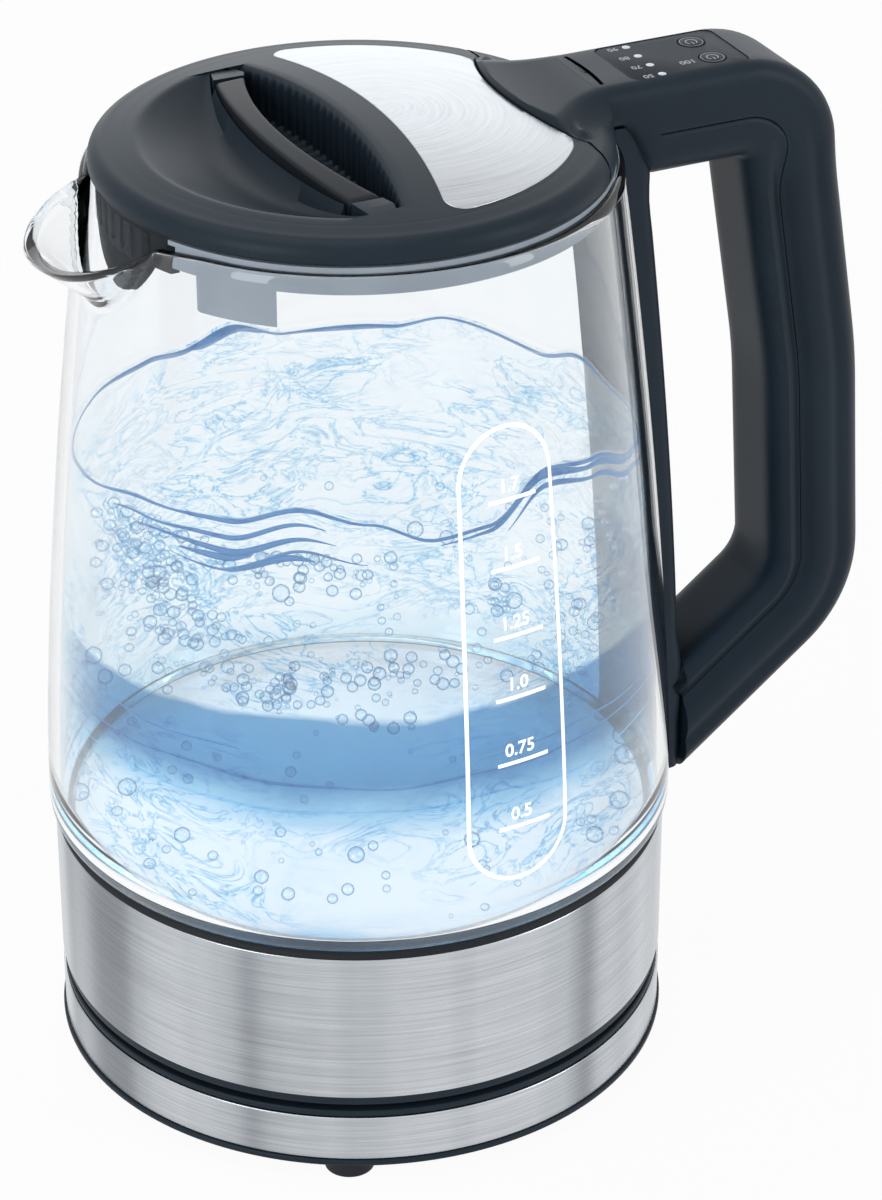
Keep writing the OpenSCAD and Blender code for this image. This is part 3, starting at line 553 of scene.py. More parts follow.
@dataclass(frozen=True)
class Steel:
    """Brushed steel whose lines follow the piece."""

    name: str
    brush: Brush = Brush.PLAIN
    colour: Colour = (0.72, 0.73, 0.75)
    roughness: float = 0.28
    ring_centre: float = 0.008

    def lines(self, tree: Tree, parts: bpy.types.Node, place: Socket) -> Socket:
        """Build the brushing's fine lines.

        Args:
            tree: nodes of the material.
            parts: separated object coordinates.
            place: object coordinates.

        Returns:
            A value socket from 0 to 1.
        """
        x, y, z = (parts.outputs[axis] for axis in "XYZ")
        if self.brush is Brush.ROUND_BAND:
            turn = tree.math("ARCTAN2", y, x)
            return tree.noise(tree.polar(turn, 1.6, z, 1500.0), 1.0, 5.0, 0.7)
        if self.brush is Brush.LID_RINGS:
            shifted = tree.math("ADD", x, -self.ring_centre)
            square = tree.math("ADD", tree.math("MULTIPLY", shifted, shifted), tree.math("MULTIPLY", y, y))
            turn = tree.math("ARCTAN2", y, shifted)
            return tree.noise(tree.polar(turn, 1.1, tree.math("SQRT", square), 1300.0), 1.0, 6.0, 0.75)
        return tree.noise(place, 900.0, 3.0)

    def painted_reflections(self, tree: Tree, parts: bpy.types.Node, base: Socket) -> Socket:
        """Darken the band's colour in soft upright zones: painted dark reflections.

        Args:
            tree: nodes of the material.
            parts: separated object coordinates.
            base: colour of the brushed steel.

        Returns:
            The colour socket.
        """
        turn = tree.math("ARCTAN2", parts.outputs["Y"], parts.outputs["X"])
        circle = tree.polar(tree.math("SINE", turn), 1.0, tree.math("COSINE", turn), 1.0)
        zones = ((0.36, (0.42, 0.43, 0.45)), (0.5, (0.86, 0.87, 0.88)), (0.6, (1.0, 1.0, 1.0)))
        return tree.blend("MULTIPLY", 1.0, base, tree.ramp(tree.noise(circle, 2.4, 2.0), zones))

    def material(self) -> Material:
        """Build the finish and return its material.

        Returns:
            The finished material.
        """
        tree = Tree(self.name)
        place = tree.place()
        parts = tree.split(place)
        shader = tree.add("BsdfPrincipled", {"Metallic": 1.0})
        lines = self.lines(tree, parts, place)
        low, high = tuple(c * 0.8 for c in self.colour), tuple(min(1.0, c * 1.18) for c in self.colour)
        base = tree.ramp(lines, ((0.3, low), (0.7, high)))
        # The band's colour takes painted dark reflections.
        if self.brush is Brush.ROUND_BAND:
            base = self.painted_reflections(tree, parts, base)
        tree.wire(base, shader.inputs["Base Color"])
        rough = tree.math("ADD", tree.math("MULTIPLY", lines, 0.22), self.roughness - 0.11)
        tree.wire(rough, shader.inputs["Roughness"])
        tree.wire(tree.bump(lines, 0.25, 0.00012), shader.inputs["Normal"])
        return tree.finish(shader)


@dataclass(frozen=True)
class ClearGlass:
    """Clear glass that lets light through to what it holds, with a painted dark edge at grazing angles."""

    name: str
    colour: Colour = (0.965, 0.98, 0.99)
    # edge: colour of the painted dark edge, standing in for reflected dark surroundings
    edge: Colour = (0.35, 0.42, 0.5)
    roughness: float = 0.0

    def material(self) -> Material:
        """Build the finish and return its material.

        Returns:
            The finished material.
        """
        tree = Tree(self.name)
        place = tree.place()
        shader = tree.add("BsdfPrincipled", {"Roughness": self.roughness, "IOR": 1.45, "Transmission Weight": 1.0})
        # Painted reflection: the colour turns grey-blue where the glass is seen edge-on.
        facing = tree.add("LayerWeight", {"Blend": 0.28})
        tint = tree.ramp(facing.outputs["Facing"], ((0.55, self.colour), (0.97, self.edge)))
        tree.wire(tint, shader.inputs["Base Color"])
        tree.wire(tree.bump(tree.noise(place, 24.0, 2.0), 0.03, 0.001), shader.inputs["Normal"])
        ray = tree.add("LightPath")
        through = tree.math("MAXIMUM", ray.outputs["Is Shadow Ray"], ray.outputs["Is Diffuse Ray"])
        clear = tree.add("BsdfTransparent", {"Color": (0.93, 0.95, 0.96, 1.0)})
        return tree.finish(tree.mix(through, shader, clear))


@dataclass(frozen=True)
class BoilingWater:
    """Boiling water that tints what is seen through it with painted blue light: clear above, a deep blue band below."""

    name: str
    bright: float = 0.16
    bed_z: float = 0.0645
    bed_cloud_glow: float = 0.66
    cloud: float = 0.08
    low_z: float = 0.062
    depth: float = 0.125

    def zones(self, tree: Tree, parts: bpy.types.Node, wave: Socket) -> Socket:
        """Tint by height with painted blue light.

        Args:
            tree: nodes of the material.
            parts: separated object coordinates.
            wave: slow noise that bends the zones.

        Returns:
            The colour socket.
        """
        level = tree.math("ADD", parts.outputs["Z"], tree.math("MULTIPLY", tree.math("ADD", wave, -0.5), 0.014))
        height = tree.math("DIVIDE", tree.math("ADD", level, -self.low_z), self.depth, clamp=True)
        near = tree.ramp(height, (
            (0.0, (0.04, 0.22, 0.5)), (0.03, (0.35, 0.66, 0.87)), (0.06, (0.96, 0.985, 1.0)),
            (0.25, (0.95, 0.98, 0.995)), (0.31, (0.4, 0.67, 0.84)), (0.37, (0.09, 0.3, 0.53)),
            (0.44, (0.11, 0.34, 0.58)), (0.5, (0.14, 0.36, 0.58)), (0.515, (0.84, 0.9, 0.93)),
            (0.66, (0.93, 0.95, 0.965)), (0.7, (0.99, 0.995, 1.0)), (1.0, (0.97, 0.99, 1.0))))
        far = tree.ramp(height, (
            (0.0, (0.6, 0.82, 0.94)), (0.12, (0.9, 0.96, 0.985)),
            (0.7, (0.98, 0.993, 1.0)), (1.0, (0.95, 0.98, 0.995))))
        # The deep painted blue bands lie on the near wall; the far wall stays pale.
        side = tree.math("MULTIPLY", tree.math("ADD", parts.outputs["Y"], 0.012), 40.0, clamp=True)
        wall = tree.blend("MIX", side, near, far)
        bed = tree.math("LESS_THAN", parts.outputs["Z"], self.bed_z)
        return tree.blend("MIX", bed, wall, (0.93, 0.97, 0.99, 1.0))

    def fold_light_lines(self, tree: Tree, stretch: Socket) -> Socket:
        """Broken lines of painted blue light where the water folds.

        Args:
            tree: nodes of the material.
            stretch: flattened object coordinates.

        Returns:
            The colour socket.
        """
        folds = tree.add("TexNoise", {"Scale": 46.0, "Detail": 6.0, "Roughness": 0.6, "Distortion": 2.2})
        tree.wire(stretch, folds.inputs["Vector"])
        line = tree.ramp(folds.outputs["Fac"], (
            (0.45, (1.0, 1.0, 1.0)), (0.49, (0.55, 0.78, 0.92)), (0.5, (0.22, 0.5, 0.74)),
            (0.515, (0.8, 0.93, 1.0)), (0.56, (1.0, 1.0, 1.0))))
        patch = tree.ramp(tree.noise(stretch, 17.0, 2.0), ((0.46, (0.0, 0.0, 0.0)), (0.58, (1.0, 1.0, 1.0))))
        return tree.blend("MIX", patch, (1.0, 1.0, 1.0, 1.0), line)

    def material(self) -> Material:
        """Build the finish and return its material.

        Returns:
            The finished material.
        """
        tree = Tree(self.name)
        place = tree.place()
        parts = tree.split(place)
        stretch = tree.add("Mapping")
        stretch.inputs["Scale"].default_value = (1.0, 1.0, 2.2)
        tree.wire(place, stretch.inputs["Vector"])
        wave = tree.noise(stretch.outputs[0], 22.0, 4.0, 0.5)
        zones = self.zones(tree, parts, wave)
        tint = tree.blend("MULTIPLY", 1.0, zones, self.fold_light_lines(tree, stretch.outputs[0]))
        clear = tree.add("BsdfTransparent")
        tree.wire(tint, clear.inputs["Color"])
        ripple = tree.add("TexNoise", {"Scale": 60.0, "Detail": 4.0, "Roughness": 0.55, "Distortion": 1.2})
        tree.wire(stretch.outputs[0], ripple.inputs["Vector"])
        bent = tree.add("BsdfGlass", {"Roughness": 0.02, "IOR": 1.12})
        tree.wire(tint, bent.inputs["Color"])
        tree.wire(tree.bump(ripple.outputs["Fac"], 0.6, 0.003), bent.inputs["Normal"])
        # Partly a milky cloud, partly a painted glow: its emission lights the water, most of all in the bed near the
        # floor.
        milky_glow = tree.add("BsdfPrincipled", {"Roughness": 0.5, "Emission Strength": 0.52})
        pale = tree.blend("MULTIPLY", 0.3, (0.95, 0.955, 0.965, 1.0), tint)
        tree.wire(pale, milky_glow.inputs["Base Color"])
        tree.wire(pale, milky_glow.inputs["Emission Color"])
        bed = tree.math("LESS_THAN", parts.outputs["Z"], self.bed_z)
        cloud = tree.math("ADD", tree.math("MULTIPLY", bed, self.bed_cloud_glow), self.cloud)
        return tree.finish(tree.mix(self.bright, tree.mix(cloud, clear, milky_glow), bent))


@dataclass(frozen=True)
class Bubble:
    """Clear bubble with a painted dark blue rim, painted darker where it faces up."""

    name: str
    rim: Colour = (0.03, 0.2, 0.45)
    lean: float = 0.22
    gloss: float = 0.09

    def material(self) -> Material:
        """Build the finish and return its material.

        Returns:
            The finished material.
        """
        tree = Tree(self.name)
        facing = tree.add("LayerWeight", {"Blend": 0.5})
        # Painted shade and reflection: the rim darkens as the face turns away, and more where it faces up.
        lean = tree.split(tree.add("NewGeometry").outputs["Normal"])
        shade = tree.math("ADD", facing.outputs["Facing"], tree.math("MULTIPLY", lean.outputs["Z"], self.lean))
        tint = tree.ramp(shade, ((0.4, (0.97, 0.99, 1.0)), (0.62, (0.5, 0.76, 0.92)), (0.85, self.rim)))
        clear = tree.add("BsdfTransparent")
        tree.wire(tint, clear.inputs["Color"])
        shine = tree.add("BsdfGlossy", {"Roughness": 0.08})
        glint = tree.ramp(tree.noise(tree.place(), 300.0), ((0.3, (0.85, 0.9, 0.95)), (0.7, (1.0, 1.0, 1.0))))
        tree.wire(glint, shine.inputs["Color"])
        return tree.finish(tree.mix(self.gloss, clear, shine))


@dataclass(frozen=True)
class PrintAndPaintedLight:
    """Printed enamel, and painted light lines in the water, kept bright on the glass by a painted glow set by lift."""

    name: str
    colour: Colour
    # lift: strength of a painted glow in the colour's own tone
    lift: float = 0.0

    def material(self) -> Material:
        """Build the finish and return its material.

        Returns:
            The finished material.
        """
        tree = Tree(self.name)
        # Painted glow: the colour also shines as emission by lift.
        shader = tree.add("BsdfPrincipled", {"Roughness": 0.5, "Emission Strength": self.lift})
        worn = tuple(c * 0.97 for c in self.colour)
        tone = tree.ramp(tree.noise(tree.place(), 900.0), ((0.3, worn), (0.7, self.colour)))
        tree.wire(tone, shader.inputs["Base Color"])
        tree.wire(tone, shader.inputs["Emission Color"])
        return tree.finish(shader)


@dataclass(frozen=True)
class FineCloth:
    """Fine woven steel that lets light through between its wires."""

    name: str
    colour: Colour = (0.12, 0.13, 0.15)
    cover: float = 0.22

    def material(self) -> Material:
        """Build the finish and return its material.

        Returns:
            The finished material.
        """
        tree = Tree(self.name)
        place = tree.place()
        grain = tree.noise(place, 1800.0, 2.0)
        shader = tree.add("BsdfPrincipled", {"Metallic": 0.7, "Roughness": 0.4})
        dark = tuple(c * 0.6 for c in self.colour)
        tree.wire(tree.ramp(grain, ((0.3, dark), (0.7, self.colour))), shader.inputs["Base Color"])
        gap = tree.add("BsdfTransparent", {"Color": (0.96, 0.97, 0.98, 1.0)})
        wires = tree.math("ADD", tree.math("MULTIPLY", grain, 0.2), self.cover - 0.1)
        return tree.finish(tree.mix(wires, gap, shader))


class Finishes:
    """Every finish of the kettle, built once."""

    def __init__(self) -> None:
        """Build the materials."""
        self.slate = Moulded("slate_plastic", (0.016, 0.026, 0.037), 0.4, 0.03, 0.16).material()
        # Charcoal serves the dark plastic parts, and also stands as painted shade on the slate trigger.
        self.charcoal_and_shade = Moulded("charcoal_plastic_and_shade", (0.006, 0.009, 0.013), 0.45, 0.05, 0.18).material()
        self.panel = Moulded("panel_plastic", (0.01, 0.016, 0.024), 0.5, 0.08, 0.18).material()
        self.grey = Moulded("grey_plastic", (0.37, 0.41, 0.46), 0.35, 0.03).material()
        self.ivory = Moulded("ivory_plastic", (0.75, 0.72, 0.65), 0.4, 0.04).material()
        self.band = Steel("band_steel", Brush.ROUND_BAND, (0.55, 0.575, 0.605), 0.26).material()
        self.lid_steel = Steel("lid_steel", Brush.LID_RINGS, (0.41, 0.425, 0.445), 0.3).material()
        self.bright = Steel("bright_steel", Brush.PLAIN, (0.74, 0.75, 0.77), 0.22).material()
        self.brass = Steel("brass", Brush.PLAIN, (0.78, 0.58, 0.28), 0.25).material()
        self.aluminium = Steel("aluminium", Brush.PLAIN, (0.78, 0.79, 0.8), 0.38).material()
        self.glass = ClearGlass("jug_glass").material()
        self.bubble = Bubble("bubble_film").material()
        # The water's blue tint and milky glow are painted light.
        self.water = BoilingWater("boiling_water").material()
        # The water's blue lines and pale lines are painted light that glows by its emission.
        self.line = PrintAndPaintedLight("water_line", (0.02, 0.18, 0.43), 0.25).material()
        self.pale_glow = PrintAndPaintedLight("water_foam", (0.75, 0.88, 0.97), 0.4).material()
        self.cloth = FineCloth("filter_cloth").material()
        self.rubber = Moulded("dark_rubber", (0.01, 0.012, 0.015), 0.6, 0.12, 0.3).material()
        self.silicone = Moulded("silicone", (0.75, 0.76, 0.77), 0.5, 0.05).material()
        self.board = Moulded("board_laminate", (0.03, 0.16, 0.07), 0.4, 0.1).material()
        self.relay = Moulded("relay_case", (0.05, 0.12, 0.32), 0.4, 0.05).material()
        self.wire = Moulded("wire_cover", (0.35, 0.04, 0.03), 0.45, 0.05).material()
        self.white_print = PrintAndPaintedLight("white_print", (0.95, 0.96, 0.97), 0.6).material()
        self.panel_print = PrintAndPaintedLight("panel_print", (0.42, 0.45, 0.48)).material()
        self.light = Moulded("light_window", (0.8, 0.84, 0.88), 0.25, 0.01).material()

    def by_slot(self) -> Dict[str, Material]:
        """Finish for each material slot of the record.

        Returns:
            The finishes by slot name.
        """
        return {"slate_plastic": self.slate, "dark_plastic": self.charcoal_and_shade, "grey_plastic": self.grey,
                "ivory_plastic": self.ivory, "brushed_steel": self.bright, "plain_steel": self.bright,
                "brass": self.brass, "clear_glass": self.glass, "clear_light": self.light, "rubber": self.rubber,
                "silicone": self.silicone, "aluminium": self.aluminium, "board": self.board,
                "relay_case": self.relay, "wire": self.wire}


class Bench:
    """Places finished pieces on their bodies."""

    @staticmethod
    def fit(piece: Piece, finish: Material, body: Body, slot: str, *nodes: str) -> Piece:
        """Dress a piece, put it on its body and stand it for its nodes.

        Args:
            piece: the piece.
            finish: its material.
            body: the body it rides on.
            slot: the record's material slot; not used.
            nodes: nodes that it replaces.

        Returns:
            The piece.
        """
        piece.data.materials.clear()
        piece.data.materials.append(finish)
        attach(piece, body.value)
        if nodes:
            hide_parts(*nodes)
        LOG.info("%s: %d corners on %s", piece.name, len(piece.data.vertices), body.value)
        return piece


# ---------------------------------------------------------------- jug's shared outline


@dataclass(frozen=True)
class Outline:
    """Curves that several pieces share, in millimetres."""

    glass_r0: float = 76.3
    glass_top: float = 231.0
    wall: float = 2.8
    lid_r: float = 60.1
    shoulder_r: float = 56.0
    rim_z: float = 233.0
    dome_r: float = 325.0
    lid_top: float = 243.0
    spout_x: float = -31.4
    spout_z: float = 181.7
    spout_lean: float = 28.8
    spout_half: float = 22.0
    spout_trim: float = 1.6
    seam_x: float = 38.2
    seam_bow: float = 4.2
    seam_half: float = 22.6
    ear_x: float = 46.2
    hinge_x: float = 46.0
    hinge_z: float = 238.0

    def glass(self, z: float) -> float:
        """Outside radius of the glass at height z."""
        return self.glass_r0 - 0.007 * max(0.0, z - 70.0) ** 1.5

    def dome(self, r: float) -> float:
        """Height of the lid's dome at radius r, with its round shoulder.

        Args:
            r: radius.

        Returns:
            The height.
        """
        if r <= self.shoulder_r:
            return self.lid_top - self.dome_r + math.sqrt(self.dome_r**2 - r * r)
        edge = self.dome(self.shoulder_r)
        t = min(1.0, (r - self.shoulder_r) / (self.lid_r - self.shoulder_r))
        return self.rim_z + 1.5 + (edge - self.rim_z - 1.5) * math.sqrt(1 - t * t)

    def on_dome(self, x: float, y: float) -> Point:
        """Place on the lid's dome over x and y."""
        return x, y, self.dome(math.hypot(x, y))

    def bow(self, y: float, most: float) -> float:
        """How far the seam has bowed back at y, which counts up to most."""
        return self.seam_bow * (min(abs(y), most) / self.seam_half) ** 2

    def seam(self, y: float) -> float:
        """X of the seam between the lid and the hinge housing."""
        near = self.seam_x + self.bow(y, 27.0)
        return near + (self.ear_x - near) * smooth_step(26.3, 28.6, abs(y))

    def swing(self, y: float) -> float:
        """Radius about the hinge's axis that the lid's rear edge keeps clear of."""
        x = self.seam(y)
        return math.hypot(self.hinge_x - x, self.dome(math.hypot(x, y)) - self.hinge_z)

    def spout(self, turn: float, z: float, inset: float) -> float:
        """Radius of the spout's cone in one direction.

        Args:
            turn: direction in radians.
            z: height.
            inset: wall taken off the cone.

        Returns:
            The radius, or 0 where the cone is not met.
        """
        rise = z - self.spout_z
        if rise < 4:
            return 0.0
        lean, half = math.radians(self.spout_lean), math.radians(self.spout_half)
        front = self.spout_x - rise * math.tan(lean + half)
        back = self.spout_x - rise * math.tan(lean - half)
        front += self.spout_trim * rise / 40.0
        centre = (front + back) / 2
        a = (back - front) / 2 - inset * 1.25
        b = rise * math.sin(half) / math.sqrt(math.cos(lean) ** 2 - math.sin(half) ** 2) - inset * 1.1
        if a <= 0.5 or b <= 0.5:
            return 0.0
        c, s = math.cos(turn), math.sin(turn)
        qa = (c / a) ** 2 + (s / b) ** 2
        qb = -2 * centre * c / a**2
        qc = (centre / a) ** 2 - 1
        disc = qb * qb - 4 * qa * qc
        return (-qb + math.sqrt(disc)) / (2 * qa) if disc > 0 else 0.0


OUTLINE = Outline()


# ---------------------------------------------------------------- power base


@dataclass
class PowerBase:
    """Round power base with its steel trim."""

    band_r: float = 75.0
    edge_r: float = 75.6
    floor_z: float = 4.0
    trim_z: float = 5.6
    trim_top: float = 17.7
    top_z: float = 19.5
    hole_r: float = 1.0
    hub_r: float = 20.2
    sheet: float = 0.8

    def build(self, looks: Finishes) -> None:
        """Build and dress the base's visible covers.

        Args:
            looks: the finishes.
        """
        self.lower_cover(looks)
        self.trim(looks)
        self.upper_cover(looks)

    def lower_cover(self, looks: Finishes) -> None:
        """Floor cover with its turned-out edge.

        Args:
            looks: the finishes.
        """
        top, step, inner = self.trim_z - 0.1, self.floor_z + 2, self.band_r - 3
        ring = [(self.hole_r, self.floor_z), (self.edge_r, self.floor_z), (self.edge_r, top),
                (inner, top), (inner, step), (self.hole_r, step)]
        piece = Shape.lathe("base_floor_cover", Shape.rounded(ring, 0.5))
        Bench.fit(piece, looks.slate, Body.BASE, "slate_plastic", "base_lower_cover")

    def trim(self, looks: Finishes) -> None:
        """Steel ring round the base.

        Args:
            looks: the finishes.
        """
        inner = self.band_r - self.sheet
        ring = [(inner, self.trim_z), (self.band_r, self.trim_z), (self.band_r, self.trim_top), (inner, self.trim_top)]
        piece = Shape.lathe("base_steel_trim", Shape.rounded(ring, 0.3))
        Bench.fit(piece, looks.band, Body.BASE, "brushed_steel", "base_trim")

    def upper_cover(self, looks: Finishes) -> None:
        """Top cover that the jug stands on.

        Args:
            looks: the finishes.
        """
        outer = self.band_r - 0.4
        ring = [(self.hub_r, self.trim_top), (outer, self.trim_top), (outer, self.top_z), (self.hub_r, self.top_z)]
        piece = Shape.lathe("base_top_cover", Shape.rounded(ring, 0.6))
        Bench.fit(piece, looks.slate, Body.BASE, "slate_plastic", "base_upper_cover")


# ---------------------------------------------------------------- jug


@dataclass
class JugShell:
    """Steel band, glass with its spout, and the rings that join them."""

    jug_z: float = 21.3
    band_r: float = 75.0
    sheet: float = 0.8
    band_z: float = 23.6
    band_top: float = 63.0
    glass_z: float = 64.9
    foot_r: float = 73.1
    foot_turn: float = 3.5
    neck_z: float = 204.0
    spout_tip: Tuple[float, float] = (-79.0, 221.0)
    spout_rise: float = 22.6
    turns: int = 288

    def build(self, looks: Finishes) -> None:
        """Build and dress the jug.

        Args:
            looks: the finishes.
        """
        self.base_cover(looks)
        self.band(looks)
        self.gasket(looks)
        self.glass(looks)

    def base_cover(self, looks: Finishes) -> None:
        """Cover under the jug, with a groove for the base's lip.

        Args:
            looks: the finishes.
        """
        hole, hub_in, hub_out, wall_in, edge = 13.5, 19.0, 20.5, 72.0, 74.6
        floor, wall_top, hub_top = self.band_z, self.band_z + 8, self.band_z + 5.5
        ring = [(hole, self.jug_z), (edge, self.jug_z), (edge, floor), (73.5, wall_top), (wall_in, wall_top),
                (wall_in, floor), (hub_out, floor), (hub_out, hub_top), (hub_in, hub_top), (hub_in, floor),
                (hole, floor)]
        piece = Shape.lathe("jug_floor_cover", Shape.rounded(ring, 0.4))
        Bench.fit(piece, looks.slate, Body.JUG, "slate_plastic", "jug_base_cover")

    def band(self, looks: Finishes) -> None:
        """Brushed steel band round the heater.

        Args:
            looks: the finishes.
        """
        inner, outer, lip, under = self.band_r - self.sheet, self.band_r, 72.6, self.band_top - self.sheet
        ring = [(inner, self.band_z), (outer, self.band_z), (outer, self.band_top), (lip, self.band_top),
                (lip, under), (inner, under)]
        piece = Shape.lathe("steel_heater_band", Shape.rounded(ring, 0.35), 256)
        Bench.fit(piece, looks.band, Body.JUG, "brushed_steel", "steel_band")

    def gasket(self, looks: Finishes) -> None:
        """Dark ring between the band and the glass.

        Args:
            looks: the finishes.
        """
        inner, low, high = 70.6, self.band_top + 0.05, self.glass_z - 0.05
        ring = [(inner, low), (74.95, low), (74.6, 64.0), (73.7, high), (inner, high)]
        piece = Shape.lathe("glass_seat_ring", Shape.rounded(ring, 0.3))
        Bench.fit(piece, looks.rubber, Body.JUG, "rubber", "glass_gasket")

    def glass(self, looks: Finishes) -> None:
        """Blown glass wall and spout in one skin.

        Args:
            looks: the finishes.
        """
        rings: List[List[Point]] = []
        for i in range(self.turns):
            t = i / self.turns
            turn = 2 * math.pi * t + 0.42 * math.sin(2 * math.pi * t)
            rings.append(self.upright(turn))
        piece = Shape.loft("jug_glass", rings, closed=True, caps=False, loop=True, sharp=60)
        Bench.fit(piece, looks.glass, Body.JUG, "clear_glass", "glass_body")

    def wall_r(self, turn: float, z: float, inset: float) -> float:
        """Radius of the glass in one direction, inset by its wall."""
        plain = OUTLINE.glass(z) - inset
        return smooth_max(plain, OUTLINE.spout(turn, z, inset), 2.4)

    def top_z(self, turn: float) -> float:
        """Height of the pouring edge in one direction.

        Args:
            turn: direction in radians.

        Returns:
            The height of the edge.
        """
        z = OUTLINE.glass_top
        tip_x, tip_z = self.spout_tip
        for _ in range(4):
            x = self.wall_r(turn, z, 0.0) * math.cos(turn)
            slope = tip_z + (x - tip_x) * math.tan(math.radians(self.spout_rise))
            z = -smooth_max(-OUTLINE.glass_top, -slope, 2.0)
        return z

    def upright(self, turn: float) -> List[Point]:
        """One closed section through the glass wall.

        Args:
            turn: direction in radians.

        Returns:
            Points up the outside and down the inside.
        """
        top = self.top_z(turn)
        c, s = math.cos(turn), math.sin(turn)
        low = self.glass_z + self.foot_turn
        swell = OUTLINE.glass(self.glass_z) - self.foot_r
        outside = [(self.foot_r + swell * out, self.glass_z + self.foot_turn * (1 - up)) for up, out in arc(6)]
        levels = [low + (self.neck_z - low) * k / 14 for k in range(1, 15)]
        levels += [self.neck_z + (top - 0.6 - self.neck_z) * k / 14 for k in range(1, 15)]
        outside += [(self.wall_r(turn, z, 0.0), z) for z in levels]
        lip = self.wall_r(turn, top, 0.0)
        rim = [(lip - 0.5, top - 0.12), (lip - 1.4, top), (self.wall_r(turn, top, OUTLINE.wall) + 0.4, top - 0.12)]
        inside = [(self.wall_r(turn, z, OUTLINE.wall), z) for z in reversed(levels)]
        foot = self.foot_r - OUTLINE.wall
        inside += [(OUTLINE.glass(low) - OUTLINE.wall, low), (foot + 0.4, self.glass_z + 0.3), (foot, self.glass_z)]
        return [(r * c, r * s, z) for r, z in outside + rim + inside]


# ---------------------------------------------------------------- handle


